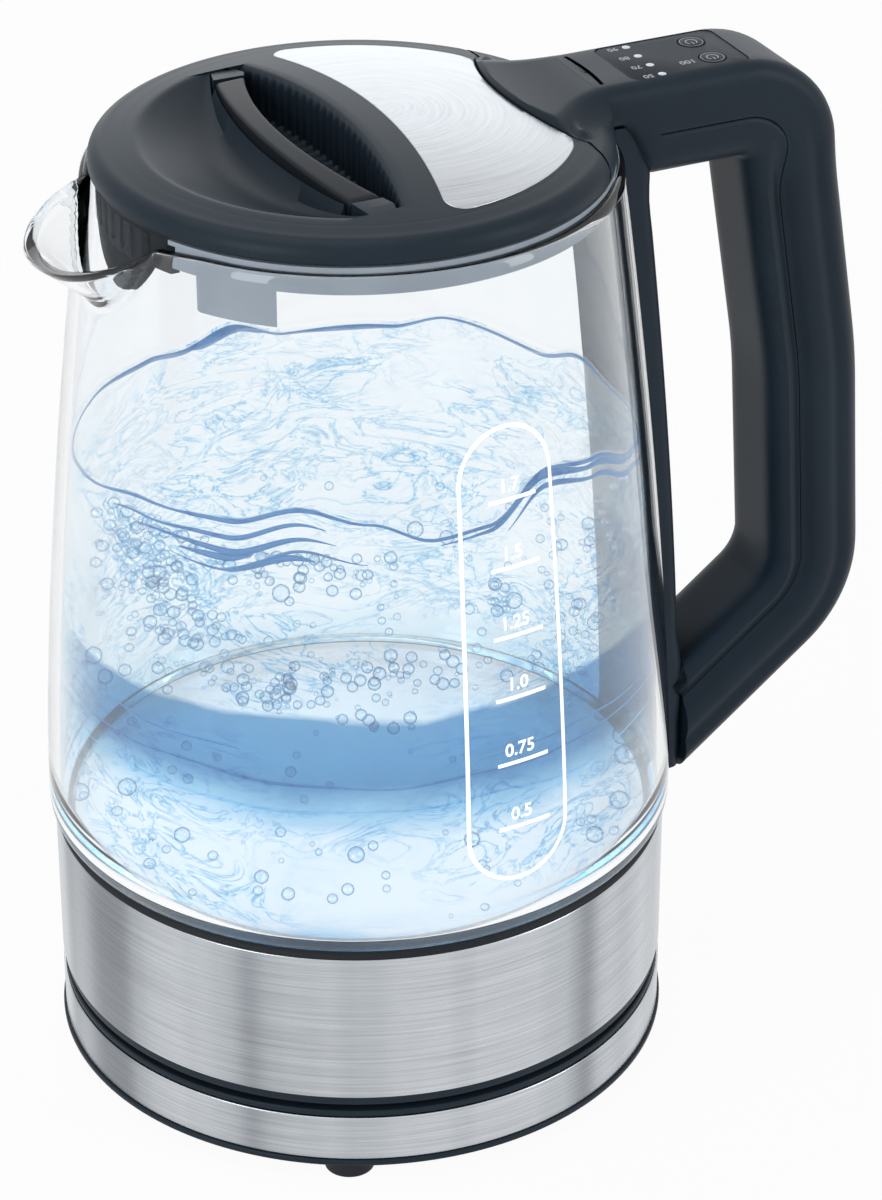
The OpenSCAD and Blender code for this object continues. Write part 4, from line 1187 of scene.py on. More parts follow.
@dataclass
class Handle:
    """Loop handle: outer shell, finger-side cover, hinge housing and the bracket on the glass."""

    half_w: float = 14.0
    thick: float = 12.4
    outer_corner: float = 4.0
    finger_corner: float = 7.0
    arm_z: float = 230.7
    arm_x: float = 72.2
    strip_face: float = 84.4
    strip_half: float = 12.0
    clear_half: float = 27.5
    crest_z: float = 241.3
    crest_rise: float = 1.8
    flare: float = 12.0
    arm_drop: float = 14.7
    grooves: Tuple[Point, ...] = ((3.1, -4.4, 2.7), (0.95, 5.0, 1.5))
    knots: Tuple[Point, ...] = ((arm_x, arm_z, 0.0), (107.0, arm_z, 14.0), (118.5, 160.0, 150.0), (122.3, 97.0, 22.0),
                                (84.7, 68.0, 0.0))

    def build(self, looks: Finishes) -> None:
        """Build and dress the handle.

        Args:
            looks: the finishes.
        """
        path = self.path()
        halves = (("handle_outer_shell", "handle_shell", True), ("handle_finger_cover", "handle_inner_cover", False))
        for name, node, outer in halves:
            piece = Shape.loft(name, [self.ring(path, i, outer) for i in range(len(path))])
            Bench.fit(piece, looks.slate, Body.JUG, "slate_plastic", node)
        self.housing(looks)
        self.bracket(looks)

    def path(self) -> List[Tuple[Vector, Vector]]:
        """Centre line of the loop as places and directions.

        Returns:
            Place and direction of each step.
        """
        spots: List[Vector] = [Vector(self.knots[0][:2])]
        for i in range(1, len(self.knots) - 1):
            p = Vector(self.knots[i][:2])
            a = (Vector(self.knots[i - 1][:2]) - p).normalized()
            b = (Vector(self.knots[i + 1][:2]) - p).normalized()
            half = math.acos(max(-1.0, min(1.0, a.dot(b)))) / 2
            radius = self.knots[i][2]
            centre = p + (a + b).normalized() * (radius / math.sin(half))
            start = p + a * (radius / math.tan(half)) - centre
            for c, s in arc(16, 2 * half - math.pi):
                spots.append(centre + Vector((start.x * c - start.y * s, start.x * s + start.y * c)))
        spots.append(Vector(self.knots[-1][:2]))
        dense: List[Vector] = []
        for a, b in zip(spots, spots[1:]):
            count = max(1, int((b - a).length / 3.0))
            dense += [a.lerp(b, k / count) for k in range(count)]
        dense.append(spots[-1])
        out = []
        for i, p in enumerate(dense):
            way = (dense[min(i + 1, len(dense) - 1)] - dense[max(i - 1, 0)]).normalized()
            out.append((p, way))
        return out

    def lobes(self, p: Vector) -> float:
        """How far the side's lobes are formed at a place on the path."""
        return smooth_step(229.0, 206.0, p.y) if p.x > 100 or p.y > 150 else 1.0

    def side(self, s: float, corner_out: float, corner_in: float, lobe: float) -> float:
        """Half width at depth s across the section.

        Args:
            s: place from the finger side to the palm side.
            corner_out: palm-side corner radius.
            corner_in: finger-side corner radius.
            lobe: strength of the lobes.

        Returns:
            The half width.
        """
        width = self.half_w
        past = (s - self.thick + corner_out, s + self.thick - corner_in)
        if past[0] > 0.0:
            width = self.half_w - corner_out + math.sqrt(max(0.0, corner_out**2 - past[0] ** 2))
        if past[1] < 0.0:
            width = self.half_w - corner_in + math.sqrt(max(0.0, corner_in**2 - past[1] ** 2))
        groove = sum(deep * math.exp(-(((s - spot) / wide) ** 2)) for deep, spot, wide in self.grooves)
        return width - lobe * groove - (1 - lobe) * 0.5 * math.exp(-(((s + 1.0) / 0.5) ** 2))

    def ring(self, path: List[Tuple[Vector, Vector]], i: int, outer: bool) -> List[Point]:
        """One ring of the outer shell or of the finger-side cover.

        Args:
            path: centre line.
            i: place on the path.
            outer: the palm-side shell, or else the finger-side cover.

        Returns:
            The ring's points.
        """
        p, way = path[i]
        lobe = self.lobes(p)
        seam = -1.0 - 3.4 * lobe
        palm, finger = self.outer_corner + 2.5 * lobe, self.finger_corner
        sign = 1.0 if outer else -1.0
        ends = (seam + sign * 0.12, sign * self.thick)
        corner = palm if outer else finger
        flat = ends[1] - sign * corner
        depths = [ends[0] + (flat - ends[0]) * k / 16 for k in range(17)]
        depths += [flat + sign * corner * s for _, s in arc(7)[1:-1]]
        half = [(s, self.side(s, palm, finger, lobe)) for s in depths]
        reach = self.half_w - corner
        across = [(ends[1], reach * (1 - 2 * k / 8)) for k in range(9)]
        loop = half + across + [(s, -w) for s, w in reversed(half)]
        lip = half[0][1] - 1.8
        loop += [(ends[0], -lip), (ends[0], lip)]
        normal = Vector((-way.y, way.x))
        out: List[Point] = []
        for s, y in loop:
            q = p + normal * s
            if i == len(path) - 1:
                q = q - way * ((q.x - p.x) / way.x)
            out.append((q.x, y, q.y))
        return out

    def arm_top(self, x: float, y: float) -> float:
        """Height of the housing's raised back at a place in plan.

        Args:
            x: place from the spout to the handle.
            y: place across it.

        Returns:
            The height.
        """
        half = self.half_w + self.flare * (1 - smooth_step(38.0, 60.0, x))
        crest = self.crest_z + self.crest_rise * smooth_step(38.0, 58.0, x)
        turn = 4.0 + 4.0 * (1 - smooth_step(46.0, 60.0, x))
        over = max(0.0, abs(y) - (half - turn))
        bend = turn * math.sqrt(0.5)
        if over >= bend:
            return crest - turn + bend - (over - bend)
        return crest - turn + math.sqrt(turn**2 - over * over)

    def back_row(self, y: float) -> List[Point]:
        """One row of the housing's back, from the lid's seam to the rim.

        Args:
            y: place of the row.

        Returns:
            Points up the front, over the top and under the rim.
        """
        start = OUTLINE.seam(y)
        end = math.sqrt(OUTLINE.lid_r**2 - y * y)
        reach = OUTLINE.swing(y)
        clear = abs(y) < self.clear_half
        row: List[Point] = []
        for z in (233.2, 234.6, 236.2, 238.0, 239.0):
            back = math.sqrt(max(0.0, reach**2 - (z - OUTLINE.hinge_z) ** 2)) if clear else 0.0
            x = min(end - 0.05, max(start, OUTLINE.hinge_x - back))
            row.append((x, y, min(z, OUTLINE.dome(math.hypot(start, y)) - 0.4)))
        for k in range(31):
            x = start + (end - start) * (k / 30) ** 1.5
            r = min(OUTLINE.lid_r, math.hypot(x, y))
            z = smooth_max(OUTLINE.dome(r), self.arm_top(x, y), 3.6)
            cheek = OUTLINE.hinge_z + 1.95 - 0.35 * (x - OUTLINE.hinge_x) ** 2 - 1.5 * max(0.0, abs(y) - 25.2)
            z = smooth_max(z, cheek, 0.8)
            if x < OUTLINE.hinge_x and clear:
                lift = math.sqrt(max(0.0, reach**2 - (OUTLINE.hinge_x - x) ** 2))
                z = min(z, OUTLINE.hinge_z + lift)
            row.append((x, y, z))
        return row + [(end, y, OUTLINE.rim_z + 0.4), (end - 0.3, y, OUTLINE.rim_z), (end - 5.0, y, OUTLINE.rim_z)]

    def arm_ring(self, x: float) -> List[Point]:
        """One section of the arm between the rim and the loop.

        Args:
            x: place of the section.

        Returns:
            Points over the top and round the underside.
        """
        low = OUTLINE.rim_z - self.arm_drop * smooth_step(62.6, 71.5, x)
        flat, bend, high = 10.0, 4.0, 239.1
        turn = min(7.0, (239.0 - low) / 2)
        ring: List[Point] = [(x, flat + bend * c, high + bend * s) for c, s in arc(8)]
        ring += [(x, flat - 2 * flat * m / 6, high + bend) for m in range(1, 6)]
        ring += [(x, -flat - bend * s, high + bend * c) for c, s in arc(8)]
        ring += [(x, -self.half_w + turn * (1 - c), low + turn * (1 - s)) for c, s in arc(6)]
        ring += [(x, self.half_w - turn * (1 - s), low + turn * (1 - c)) for c, s in arc(6)]
        return ring

    def housing(self, looks: Finishes) -> None:
        """Hinge housing: the rim's back piece flowing into the arm.

        Args:
            looks: the finishes.
        """
        count, first = 90, 56.5
        limit = math.sqrt(OUTLINE.lid_r**2 - 46.22**2)
        rows = [self.back_row(-limit + 2 * limit * j / count) for j in range(count + 1)]
        rear = Shape.loft("hinge_housing_back", rows, closed=False, caps=False, sharp=50)
        rings = [self.arm_ring(first + (self.arm_x - 0.02 - first) * k / 12) for k in range(13)]
        arm = Shape.loft("hinge_housing_arm", rings, sharp=50)
        for piece in (rear, arm):
            Bench.fit(piece, looks.slate, Body.JUG, "slate_plastic", "hinge_housing")

    def bracket(self, looks: Finishes) -> None:
        """Bracket that follows the glass below the arm.

        Args:
            looks: the finishes.
        """
        rings: List[List[Point]] = []
        half, turn, foot_z = self.strip_half, 3.2, 64.0
        levels = [54.0, 54.4, 58.0, foot_z, 68.0, 72.0, 78.0, 84.0, 89.0, 92.0, 96.0]
        levels += [100.0 + 4.0 * k for k in range(30)] + [218.0, 221.0, 225.0, 229.0, 232.4]
        for z in levels:
            back = (75.3 if z < foot_z else OUTLINE.glass(z) + 0.35)
            foot = self.strip_face - 2.6 * smooth_step(84.0, 98.0, z) if z < 99 else 0.0
            front = max(OUTLINE.glass(max(z, foot_z)) + 7.5, foot)
            front = front + (71.88 - front) * smooth_step(205.0, 219.0, z)
            across = [-half + 2 * half * m / 8 for m in range(9)]
            ring: List[Point] = [(math.sqrt(back * back - y * y), y, z) for y in across]
            ring += [(front - turn + turn * s, half - turn + turn * c, z) for c, s in arc(6)]
            ring += [(front - turn + turn * c, -half + turn - turn * s, z) for c, s in arc(6)]
            rings.append(ring)
        piece = Shape.loft("handle_glass_bracket", rings, sharp=40)
        Bench.fit(piece, looks.slate, Body.JUG, "dark_plastic", "handle_mount_strip")


# ---------------------------------------------------------------- lid


@dataclass
class Lid:
    """Domed lid with its thumb bowl, ribbed grip slot, steel plate and latch trigger."""

    inner_r: float = 52.0
    bowl_r: float = 49.0
    bowl_in: float = 22.0
    floor_z: float = 229.5
    slot_half: float = 45.0
    trigger_half: float = 38.0
    scoop: float = 9.0
    ledge: float = 0.7
    plate_r: float = 50.95
    gap: float = 0.35
    rib_pitch: float = 3.3
    rib_deep: float = 0.75
    rib_half: float = 42.5
    wall: float = 0.9
    ridge_x: float = -22.5
    ridge_r: float = 148.0
    front_x: float = -17.5
    front_r: float = 102.5
    back_x: float = -2.5
    back_r: float = 180.5
    plate_x: float = 6.5
    plate_front_r: float = 195.6
    plate_rear: float = 37.45
    plate_tip: float = 50.66
    corner: Point = (5.603, 46.16, 4.5)

    def build(self, looks: Finishes) -> None:
        """Build and dress the lid.

        Args:
            looks: the finishes.
        """
        top = self.inner()
        Shape.join(top, self.outer())
        Bench.fit(top, looks.slate, Body.LID, "slate_plastic", "lid_top")
        Bench.fit(self.plate(), looks.lid_steel, Body.LID, "brushed_steel", "lid_steel_plate")
        # Painted shade: the slate trigger takes the darker charcoal finish.
        Bench.fit(self.trigger(), looks.charcoal_and_shade, Body.TRIGGER, "slate_plastic", "latch_trigger")

    def ridge(self, y: float) -> float:
        """X of the bowl's rear edge."""
        return self.ridge_x + self.ridge_r - math.sqrt(self.ridge_r**2 - y * y)

    def slot_front(self, y: float) -> float:
        """X of the trigger's rear edge."""
        return self.front_x + self.front_r - math.sqrt(self.front_r**2 - y * y)

    def slot_back(self, y: float) -> float:
        """X of the slot's ribbed wall."""
        return self.back_x - self.back_r + math.sqrt(self.back_r**2 - y * y)

    def bowl(self, r: float) -> float:
        """Height of the thumb bowl's floor at radius r."""
        t = max(0.0, (r - self.bowl_in) / (self.bowl_r - self.bowl_in))
        return self.floor_z + (OUTLINE.dome(self.bowl_r) - self.floor_z) * t**1.6

    def skin(self, x: float, y: float) -> float:
        """Height of the lid's top over the thumb bowl, which scoops up to its rear edge.

        Args:
            x: place from the spout to the handle.
            y: place across it.

        Returns:
            The height.
        """
        r = math.hypot(x, y)
        away = min(self.scoop, max(0.0, self.ridge(y) - 0.4 - x))
        rise = self.scoop - math.sqrt(self.scoop**2 - (self.scoop - away) ** 2)
        floor = smooth_max(self.bowl(r), self.floor_z + rise, 6.0) if away > 0.0 else self.bowl(r)
        return -smooth_max(-OUTLINE.dome(r), -floor, 0.7)

    def rear(self, y: float) -> float:
        """X of the lid's rear edge in a row."""
        return OUTLINE.seam(y) - self.gap

    def row(self, y: float, slotted: bool) -> List[Point]:
        """One row of the lid's inner top.

        Args:
            y: place of the row.
            slotted: the row crosses the grip slot.

        Returns:
            Points from the spout's side to the hinge's.
        """
        left = -math.sqrt(max(0.0, self.inner_r**2 - y * y))
        right = min(-left, self.rear(y))
        edge = min(self.slot_half, abs(y))
        lip = -math.sqrt(self.bowl_r**2 - edge * edge)
        ridge, back = self.ridge(edge) - 0.4, self.slot_back(edge)
        if abs(y) > self.slot_half:
            full = math.sqrt(self.inner_r**2 - edge**2)
            scale = -left / full
            lip, ridge, back = lip * scale, ridge * scale, back * scale
        out: List[Point] = []
        spots = [left, (left + lip) / 2, max(left, lip - 0.8), max(left, lip - 0.3), lip]
        inner = min(0.8, (ridge - lip) * 0.2)
        spots += [lip + inner * 0.4, lip + inner]
        spots += [lip + inner + (ridge - lip - inner) * k / 16 for k in range(1, 17)]
        for x in spots:
            r = math.hypot(x, y)
            out.append((x, y, self.skin(x, y) if slotted or abs(y) > self.slot_half else OUTLINE.dome(r)))
        if abs(y) >= self.slot_half and not slotted:
            out = [OUTLINE.on_dome(x, y) for x, _, _ in out]
        shade = 0.5 - 0.5 * math.cos(2 * math.pi * y / self.rib_pitch)
        rib = self.rib_deep * shade**0.6 if abs(y) < self.rib_half else 0.0
        foot = back - self.wall
        level = OUTLINE.dome(math.hypot(back, y))
        if slotted:
            closed = abs(y) > self.trigger_half + self.gap
            front = min(self.slot_front(edge), back - 1.3)
            low = self.floor_z + (level - 2.0 - self.floor_z) * smooth_step(40.0, self.slot_half, abs(y))
            top = OUTLINE.dome(math.hypot(front, y)) - self.ledge if closed else low
            brow = (front - 0.15, y, top - 0.15 if closed else low)
            out += [(ridge + 0.02, y, top), (front - 0.6, y, top), brow, (front, y, low)]
            out += [(front + (back - front) * 0.3, y, low), (foot, y, low)]
            out += [(foot + rib, y, low + 0.5), (foot + rib, y, level - 3.0)]
            out += [(back - 0.75 + rib * 0.8, y, level - 2.3), (back - 0.2, y, level - 1.2)]
            out += [(back + 0.3, y, level - 0.3), OUTLINE.on_dome(back + self.wall, y)]
        else:
            flat = [ridge + (foot - ridge) * k / 5 for k in range(6)]
            flat += [back + step for step in (-self.wall, -0.8, -0.75, -0.2, 0.3, self.wall)]
            out += [OUTLINE.on_dome(x, y) for x in flat]
        start = back + self.wall
        for k in range(1, 19):
            x = start + (right - 0.3 - start) * k / 18 if right > start + 0.3 else right
            out.append(OUTLINE.on_dome(x, y))
        end = OUTLINE.dome(math.hypot(right, y))
        out += [(right, y, end - 0.25), (right, y, end - 2.2)]
        return out

    def inner(self) -> Piece:
        """Build the top inside the shoulder, with the bowl and the slot.

        Returns:
            The new object.
        """
        start, count = math.asin(self.slot_half / self.inner_r), 230
        outer = [self.inner_r * math.sin(math.pi / 2 - (math.pi / 2 - start) * (k / 12)) for k in range(12)]
        rows = [self.row(-y, False) for y in outer]
        rows.append(self.row(-self.slot_half, False))
        rows += [self.row(-self.slot_half + 2 * self.slot_half * j / count, True) for j in range(count + 1)]
        rows.append(self.row(self.slot_half, False))
        rows += [self.row(y, False) for y in reversed(outer)]
        return Shape.loft("lid_dome", rows, closed=False, caps=False, sharp=38)

    def limit(self, r: float) -> float:
        """Angle at which the ring of radius r meets the rear seam.

        Args:
            r: radius of the ring.

        Returns:
            The angle in radians.
        """
        angle = math.acos(min(1.0, 45.8 / r))
        for _ in range(24):
            angle = 0.5 * angle + 0.5 * math.acos(min(1.0, self.rear(r * math.sin(angle)) / r))
        return angle

    def outer(self) -> Piece:
        """Build the rounded shoulder and the rim.

        Returns:
            The new object.
        """
        rim, shoulder, low = OUTLINE.lid_r, OUTLINE.shoulder_r, OUTLINE.rim_z
        radii = [52.3, 53.5, 54.8, shoulder]
        radii += [shoulder + (rim - shoulder) * s for _, s in arc(10)[1:-1]]
        spots: Profile = [(51.5, OUTLINE.dome(51.5) - 0.06)] + [(r, OUTLINE.dome(r)) for r in radii]
        under = rim - 5.3
        spots += [(rim, 234.5), (rim, 233.25), (rim - 0.25, low), (rim - 5.1, low), (under, 233.2), (under, 237.4)]
        limits = [self.limit(r) for r, _ in spots]
        rings: List[List[Point]] = []
        steps = 168
        for i in range(steps + 1):
            ring = []
            for (r, z), end in zip(spots, limits):
                a = end + (2 * math.pi - 2 * end) * i / steps
                ring.append((r * math.cos(a), r * math.sin(a), z))
            rings.append(ring)
        first, last = ([(x, y, min(z, low)) for x, y, z in ring] for ring in (rings[0], rings[-1]))
        soft, close = ([(x - 0.25, y, z) for x, y, z in ring] for ring in (rings[0], rings[-1]))
        start, stop = ([(x, y, z - 0.25) for x, y, z in ring] for ring in (rings[0], rings[-1]))
        rings = [first, start, soft, *rings[1:-1], close, stop, last]
        return Shape.loft("lid_shoulder", rings, closed=False, caps=False, sharp=38)

    def plate(self) -> Piece:
        """Build the steel plate behind the slot.

        Returns:
            The new object.
        """
        rows: List[List[Point]] = []
        steps = 110
        corner_x, corner_y, corner_r = self.corner
        for j in range(steps + 1):
            y = self.plate_tip * math.sin(math.pi / 2 * (2 * j / steps - 1))
            if abs(y) > 45.12:
                low = corner_x - math.sqrt(max(0.0, corner_r**2 - (abs(y) - corner_y) ** 2))
            else:
                low = self.plate_x - self.plate_front_r + math.sqrt(self.plate_front_r**2 - y * y)
            rear = self.plate_rear + OUTLINE.bow(y, 26.0)
            high = -smooth_max(-math.sqrt(self.plate_r**2 - y * y), -rear, 3.0)
            high = max(high, low + 0.02)
            bevel = min(0.16, (high - low) * 0.3)
            row: List[Point] = [(low, y, -0.3), (low, y, 0.03), (low + bevel, y, 0.13)]
            row += [(low + bevel + (high - low - 2 * bevel) * k / 24, y, 0.14) for k in range(1, 24)]
            row += [(high - bevel, y, 0.13), (high, y, 0.03), (high, y, -0.3)]
            rows.append([(x, y, OUTLINE.dome(min(OUTLINE.shoulder_r, math.hypot(x, y))) + lift) for x, _, lift in row])
        return Shape.loft("lid_plate", rows, closed=False, caps=False, sharp=30)

    def trigger(self) -> Piece:
        """Build the crescent trigger and its two bolts.

        Returns:
            The new object.
        """
        rows: List[List[Point]] = []
        steps = 80
        turn = 0.8
        half = self.trigger_half
        spots = [-half, -half, -half + 0.25, -half + 0.9]
        spots += [-half + 1.5 + (2 * half - 3.0) * k / steps for k in range(steps + 1)]
        spots += [half - 0.9, half - 0.25, half, half]
        for j, y in enumerate(spots):
            front, back = self.ridge(y) - 0.05, self.slot_front(y)
            drop = {0: 9.0, 1: 1.3, 2: 0.35, 3: 0.08}.get(min(j, len(spots) - 1 - j), 0.0)
            row: List[Point] = [(front, y, self.floor_z + 0.4)]
            row += [(front + turn * (1 - c), y, -turn * (1 - s)) for c, s in arc(4)]
            row += [(front + turn + (back - front - 2 * turn) * k / 6, y, 0.0) for k in range(1, 6)]
            row += [(back - turn * (1 - s), y, -turn * (1 - c)) for c, s in arc(4)]
            row.append((back, y, self.floor_z + 0.4))
            rows.append([(x, y, z if z > 100 else OUTLINE.dome(math.hypot(x, y)) - self.ledge + z - drop)
                         for x, _, z in row])
        piece = Shape.loft("latch_trigger_bar", rows, closed=True, caps=True, sharp=38)
        bolts, tip, root = [], -38.8, -14.0
        for side in (-1, 1):
            near, far = side * half - 2.5, side * half + 2.5
            box = [(tip, near), (root, near), (root, far), (tip, far)]
            bolts.append(Shape.plate(f"latch_bolt_{side}", box, 230.6, OUTLINE.rim_z, 0.2))
        Shape.join(piece, *bolts)
        return piece


# ---------------------------------------------------------------- controls


class Lettering:
    """Plain printed numbers and signs as thin meshes."""

    @staticmethod
    def glyphs(text: str, size: float) -> Traced:
        """Trace a number's outline.

        Args:
            text: the number.
            size: height of the letters in millimetres.

        Returns:
            Flat corners in millimetres, centred, and the faces.
        """
        curve = bpy.data.curves.new("number", "FONT")
        curve.body = text
        curve.size = size * 1.38
        curve.align_x = "CENTER"
        curve.align_y = "CENTER"
        curve.offset = 0.03 * size
        curve.resolution_u = 3
        holder = bpy.data.objects.new("number", curve)
        bpy.context.scene.collection.objects.link(holder)
        bpy.context.view_layer.update()
        mesh = holder.evaluated_get(bpy.context.evaluated_depsgraph_get()).to_mesh()
        points: Profile = [(v.co.x, v.co.y) for v in mesh.vertices]
        faces = [list(p.vertices) for p in mesh.polygons]
        holder.evaluated_get(bpy.context.evaluated_depsgraph_get()).to_mesh_clear()
        bpy.data.objects.remove(holder)
        bpy.data.curves.remove(curve)
        return points, faces

    @staticmethod
    def stroke(path: Sequence[Tuple[float, float]], width: float, closed: bool = False) -> Traced:
        """Thicken a line.

        Args:
            path: places along the line.
            width: width of the line.
            closed: the line closes on itself.

        Returns:
            Flat corners and faces.
        """
        points: Profile = []
        count = len(path)
        for i in range(count):
            a = Vector(path[i - 1] if closed or i else path[i])
            b = Vector(path[(i + 1) % count] if closed or i < count - 1 else path[i])
            way = (b - a).normalized()
            side = Vector((-way.y, way.x)) * (width / 2)
            points += [(path[i][0] + side.x, path[i][1] + side.y), (path[i][0] - side.x, path[i][1] - side.y)]
        faces = []
        for i in range(count if closed else count - 1):
            k = (i + 1) % count
            faces.append([2 * i, 2 * i + 1, 2 * k + 1, 2 * k])
        return points, faces

    @staticmethod
    def gather(parts: Sequence[Tuple[List[Point], Faces]], name: str) -> Piece:
        """Join traced parts into one piece.

        Args:
            parts: traced corners and faces.
            name: name of the piece.

        Returns:
            The new object.
        """
        points: List[Point] = []
        faces: Faces = []
        for corners, sides in parts:
            base = len(points)
            points += corners
            faces += [[base + k for k in side] for side in sides]
        return Shape.solid(name, points, faces, recalc=False)


@dataclass
class Controls:
    """Control panel in the arm with four lights and two buttons."""

    centre_x: float = 82.0
    half_x: float = 15.5
    half_y: float = 10.8
    button_x: float = 90.0
    button_y: float = 5.2
    button_r: float = 3.2
    light_x: float = 74.7
    deep: float = 241.0
    top: float = 242.85
    above: float = 245.0
    marks: Tuple[Tuple[str, float], ...] = (("90", 9.0), ("80", 3.0), ("70", -3.0), ("50", -9.0))

    def build(self, looks: Finishes, arms: Sequence[Piece]) -> None:
        """Cut the arm's opening and fit the panel.

        Args:
            looks: the finishes.
            arms: pieces that the opening is cut through.
        """
        for arm in arms:
            self.cut(arm, self.box("panel_opening", 0.18, self.deep, self.above))
        panel = self.box("control_panel_plate", 0.0, self.deep + 0.2, self.top)
        for y in (-self.button_y, self.button_y):
            hole = self.disc("button_hole", self.button_x, y, self.button_r + 0.22, self.deep - 1, self.above, 0.0)
            self.cut(panel, hole)
        Bench.fit(panel, looks.panel, Body.JUG, "dark_plastic", "control_panel")
        for body, node, y in ((Body.POWER, "power_button", self.button_y), (Body.BOIL, "boil_button", -self.button_y)):
            cap = self.disc(f"{node}_cap", self.button_x, y, self.button_r, self.deep - 0.4, self.top + 0.12, 0.25)
            Bench.fit(cap, looks.panel, body, "dark_plastic", node)
            Bench.fit(self.sign(node, y), looks.panel_print, body, "")
        lights = [self.disc(f"light_{k}", self.light_x, y, 1.1, self.deep - 0.2, self.top + 0.08, 0.3)
                  for k, (_, y) in enumerate(reversed(self.marks))]
        Shape.join(lights[0], *lights[1:])
        Bench.fit(lights[0], looks.light, Body.JUG, "clear_light", "panel_lights")
        Bench.fit(self.numbers(), looks.panel_print, Body.JUG, "")

    def box(self, name: str, grow: float, low: float, high: float) -> Piece:
        """Plate with rounded corners, grown by grow.

        Args:
            name: name of the piece.
            grow: growth of the outline.
            low: height of the underside.
            high: height of the top.

        Returns:
            The new object.
        """
        outline: Profile = []
        radius = 2.6
        for cx, cy, turn in ((1, 1, 0), (-1, 1, 90), (-1, -1, 180), (1, -1, 270)):
            x, y = self.centre_x + cx * (self.half_x - radius), cy * (self.half_y - radius)
            reach = radius + grow
            outline += [(x + reach * c, y + reach * s) for c, s in arc(6, start=math.radians(turn))]
        return Shape.plate(name, outline, low, high, 0.12)

    @staticmethod
    def disc(name: str, x: float, y: float, r: float, low: float, high: float, bevel: float) -> Piece:
        """Round cap with a softened edge."""
        outline = [(x + r * c, y + r * s) for c, s in circle(48)]
        return Shape.plate(name, outline, low, high, max(0.01, bevel))

    @staticmethod
    def cut(piece: Piece, tool: Piece) -> None:
        """Cut a tool's shape out of a piece and drop the tool.

        Args:
            piece: piece that is cut.
            tool: piece that cuts it.
        """
        step = piece.modifiers.new("cut", "BOOLEAN")
        step.operation = "DIFFERENCE"
        step.solver = "EXACT"
        step.object = tool
        bpy.context.view_layer.update()
        shape = bpy.data.meshes.new_from_object(piece.evaluated_get(bpy.context.evaluated_depsgraph_get()))
        piece.modifiers.clear()
        piece.data = shape
        piece.data.set_sharp_from_angle(angle=math.radians(35))
        bpy.data.objects.remove(tool)

    @staticmethod
    def flat(x: float, y: float, z: float, traced: Traced) -> Tuple[List[Point], Faces]:
        """Lay a traced sign on the panel, read from the far side."""
        points, faces = traced
        return [(x - u, y - v, z) for u, v in points], faces

    def numbers(self) -> Piece:
        """Numbers beside the lights and beside the lower button.

        Returns:
            The new object.
        """
        parts = []
        for text, y in self.marks:
            parts.append(self.flat(self.light_x - 3.6, y, self.top + 0.02, Lettering.glyphs(text, 1.9)))
        parts.append(self.flat(self.button_x - 6.6, -self.button_y, self.top + 0.02, Lettering.glyphs("100", 2.0)))
        return Lettering.gather(parts, "panel_numbers")

    def sign(self, node: str, y: float) -> Piece:
        """Open ring with a stroke, inside a thin circle, on a button.

        Args:
            node: name of the button's node.
            y: place of the button.

        Returns:
            The sign's piece.
        """
        ring = [(1.35 * c, 1.35 * s) for c, s in arc(28, math.radians(290), math.radians(125))]
        edge = [(2.75 * c, 2.75 * s) for c, s in circle(40)]
        strokes = (Lettering.stroke(ring, 0.26), Lettering.stroke([(0, 0.2), (0, 1.7)], 0.26),
                   Lettering.stroke(edge, 0.14, True))
        parts = [self.flat(self.button_x, y, self.top + 0.14, traced) for traced in strokes]
        return Lettering.gather(parts, f"{node}_sign")


# ---------------------------------------------------------------- water and its scale


@dataclass
class WaterScale:
    """White water scale printed on the glass: a capsule outline, ticks and plain numbers."""

    turn: float = -85.0
    low: float = 80.4
    high: float = 193.2
    half: float = 12.6
    ticks: Tuple[Tuple[float, str], ...] = ((94.0, "0.5"), (110.7, "0.75"), (127.2, "1.0"), (142.6, "1.25"),
                                            (159.4, "1.5"), (175.75, "1.7"))

    def build(self, looks: Finishes) -> None:
        """Build and dress the print.

        Args:
            looks: the finishes.
        """
        half, steps = self.half, 40
        upper, lower = self.high - half, self.low + half
        side = [(upper - lower) * k / steps for k in range(1, steps)]
        line = [(half * c, upper + half * s) for c, s in arc(24, math.pi)]
        line += [(-half, upper - step) for step in side]
        line += [(half * c, lower + half * s) for c, s in arc(24, math.pi, math.pi)]
        line += [(half, lower + step) for step in side]
        parts = [self.lay(Lettering.stroke(line, 1.0, True))]
        for z, text in self.ticks:
            parts.append(self.lay(Lettering.stroke([(-5.2 + 13.2 * k / 8, z) for k in range(9)], 0.95)))
            points, faces = Lettering.glyphs(text, 3.3)
            parts.append(self.lay(([(x + 0.6, y + z + 3.3) for x, y in points], faces)))
        Bench.fit(Lettering.gather(parts, "water_scale_print"), looks.white_print, Body.JUG, "")

    def lay(self, traced: Traced) -> Tuple[List[Point], Faces]:
        """Wrap traced corners round the glass.

        Args:
            traced: flat corners and faces.

        Returns:
            Corners on the glass, and the faces.
        """
        points, faces = traced
        out = []
        for u, z in points:
            r = OUTLINE.glass(z) + 0.1
            a = math.radians(self.turn) + u / OUTLINE.glass(130.0)
            out.append((r * math.cos(a), r * math.sin(a), z))
        return out, faces


@dataclass(frozen=True)
class Strand:
    """Thread against the glass, from one turn to another, that carries a painted line of light in the water."""

    start: float
    stop: float
    thick: float
    drop: float = 0.0
    level: float = 0.0
    bend: float = 1.0


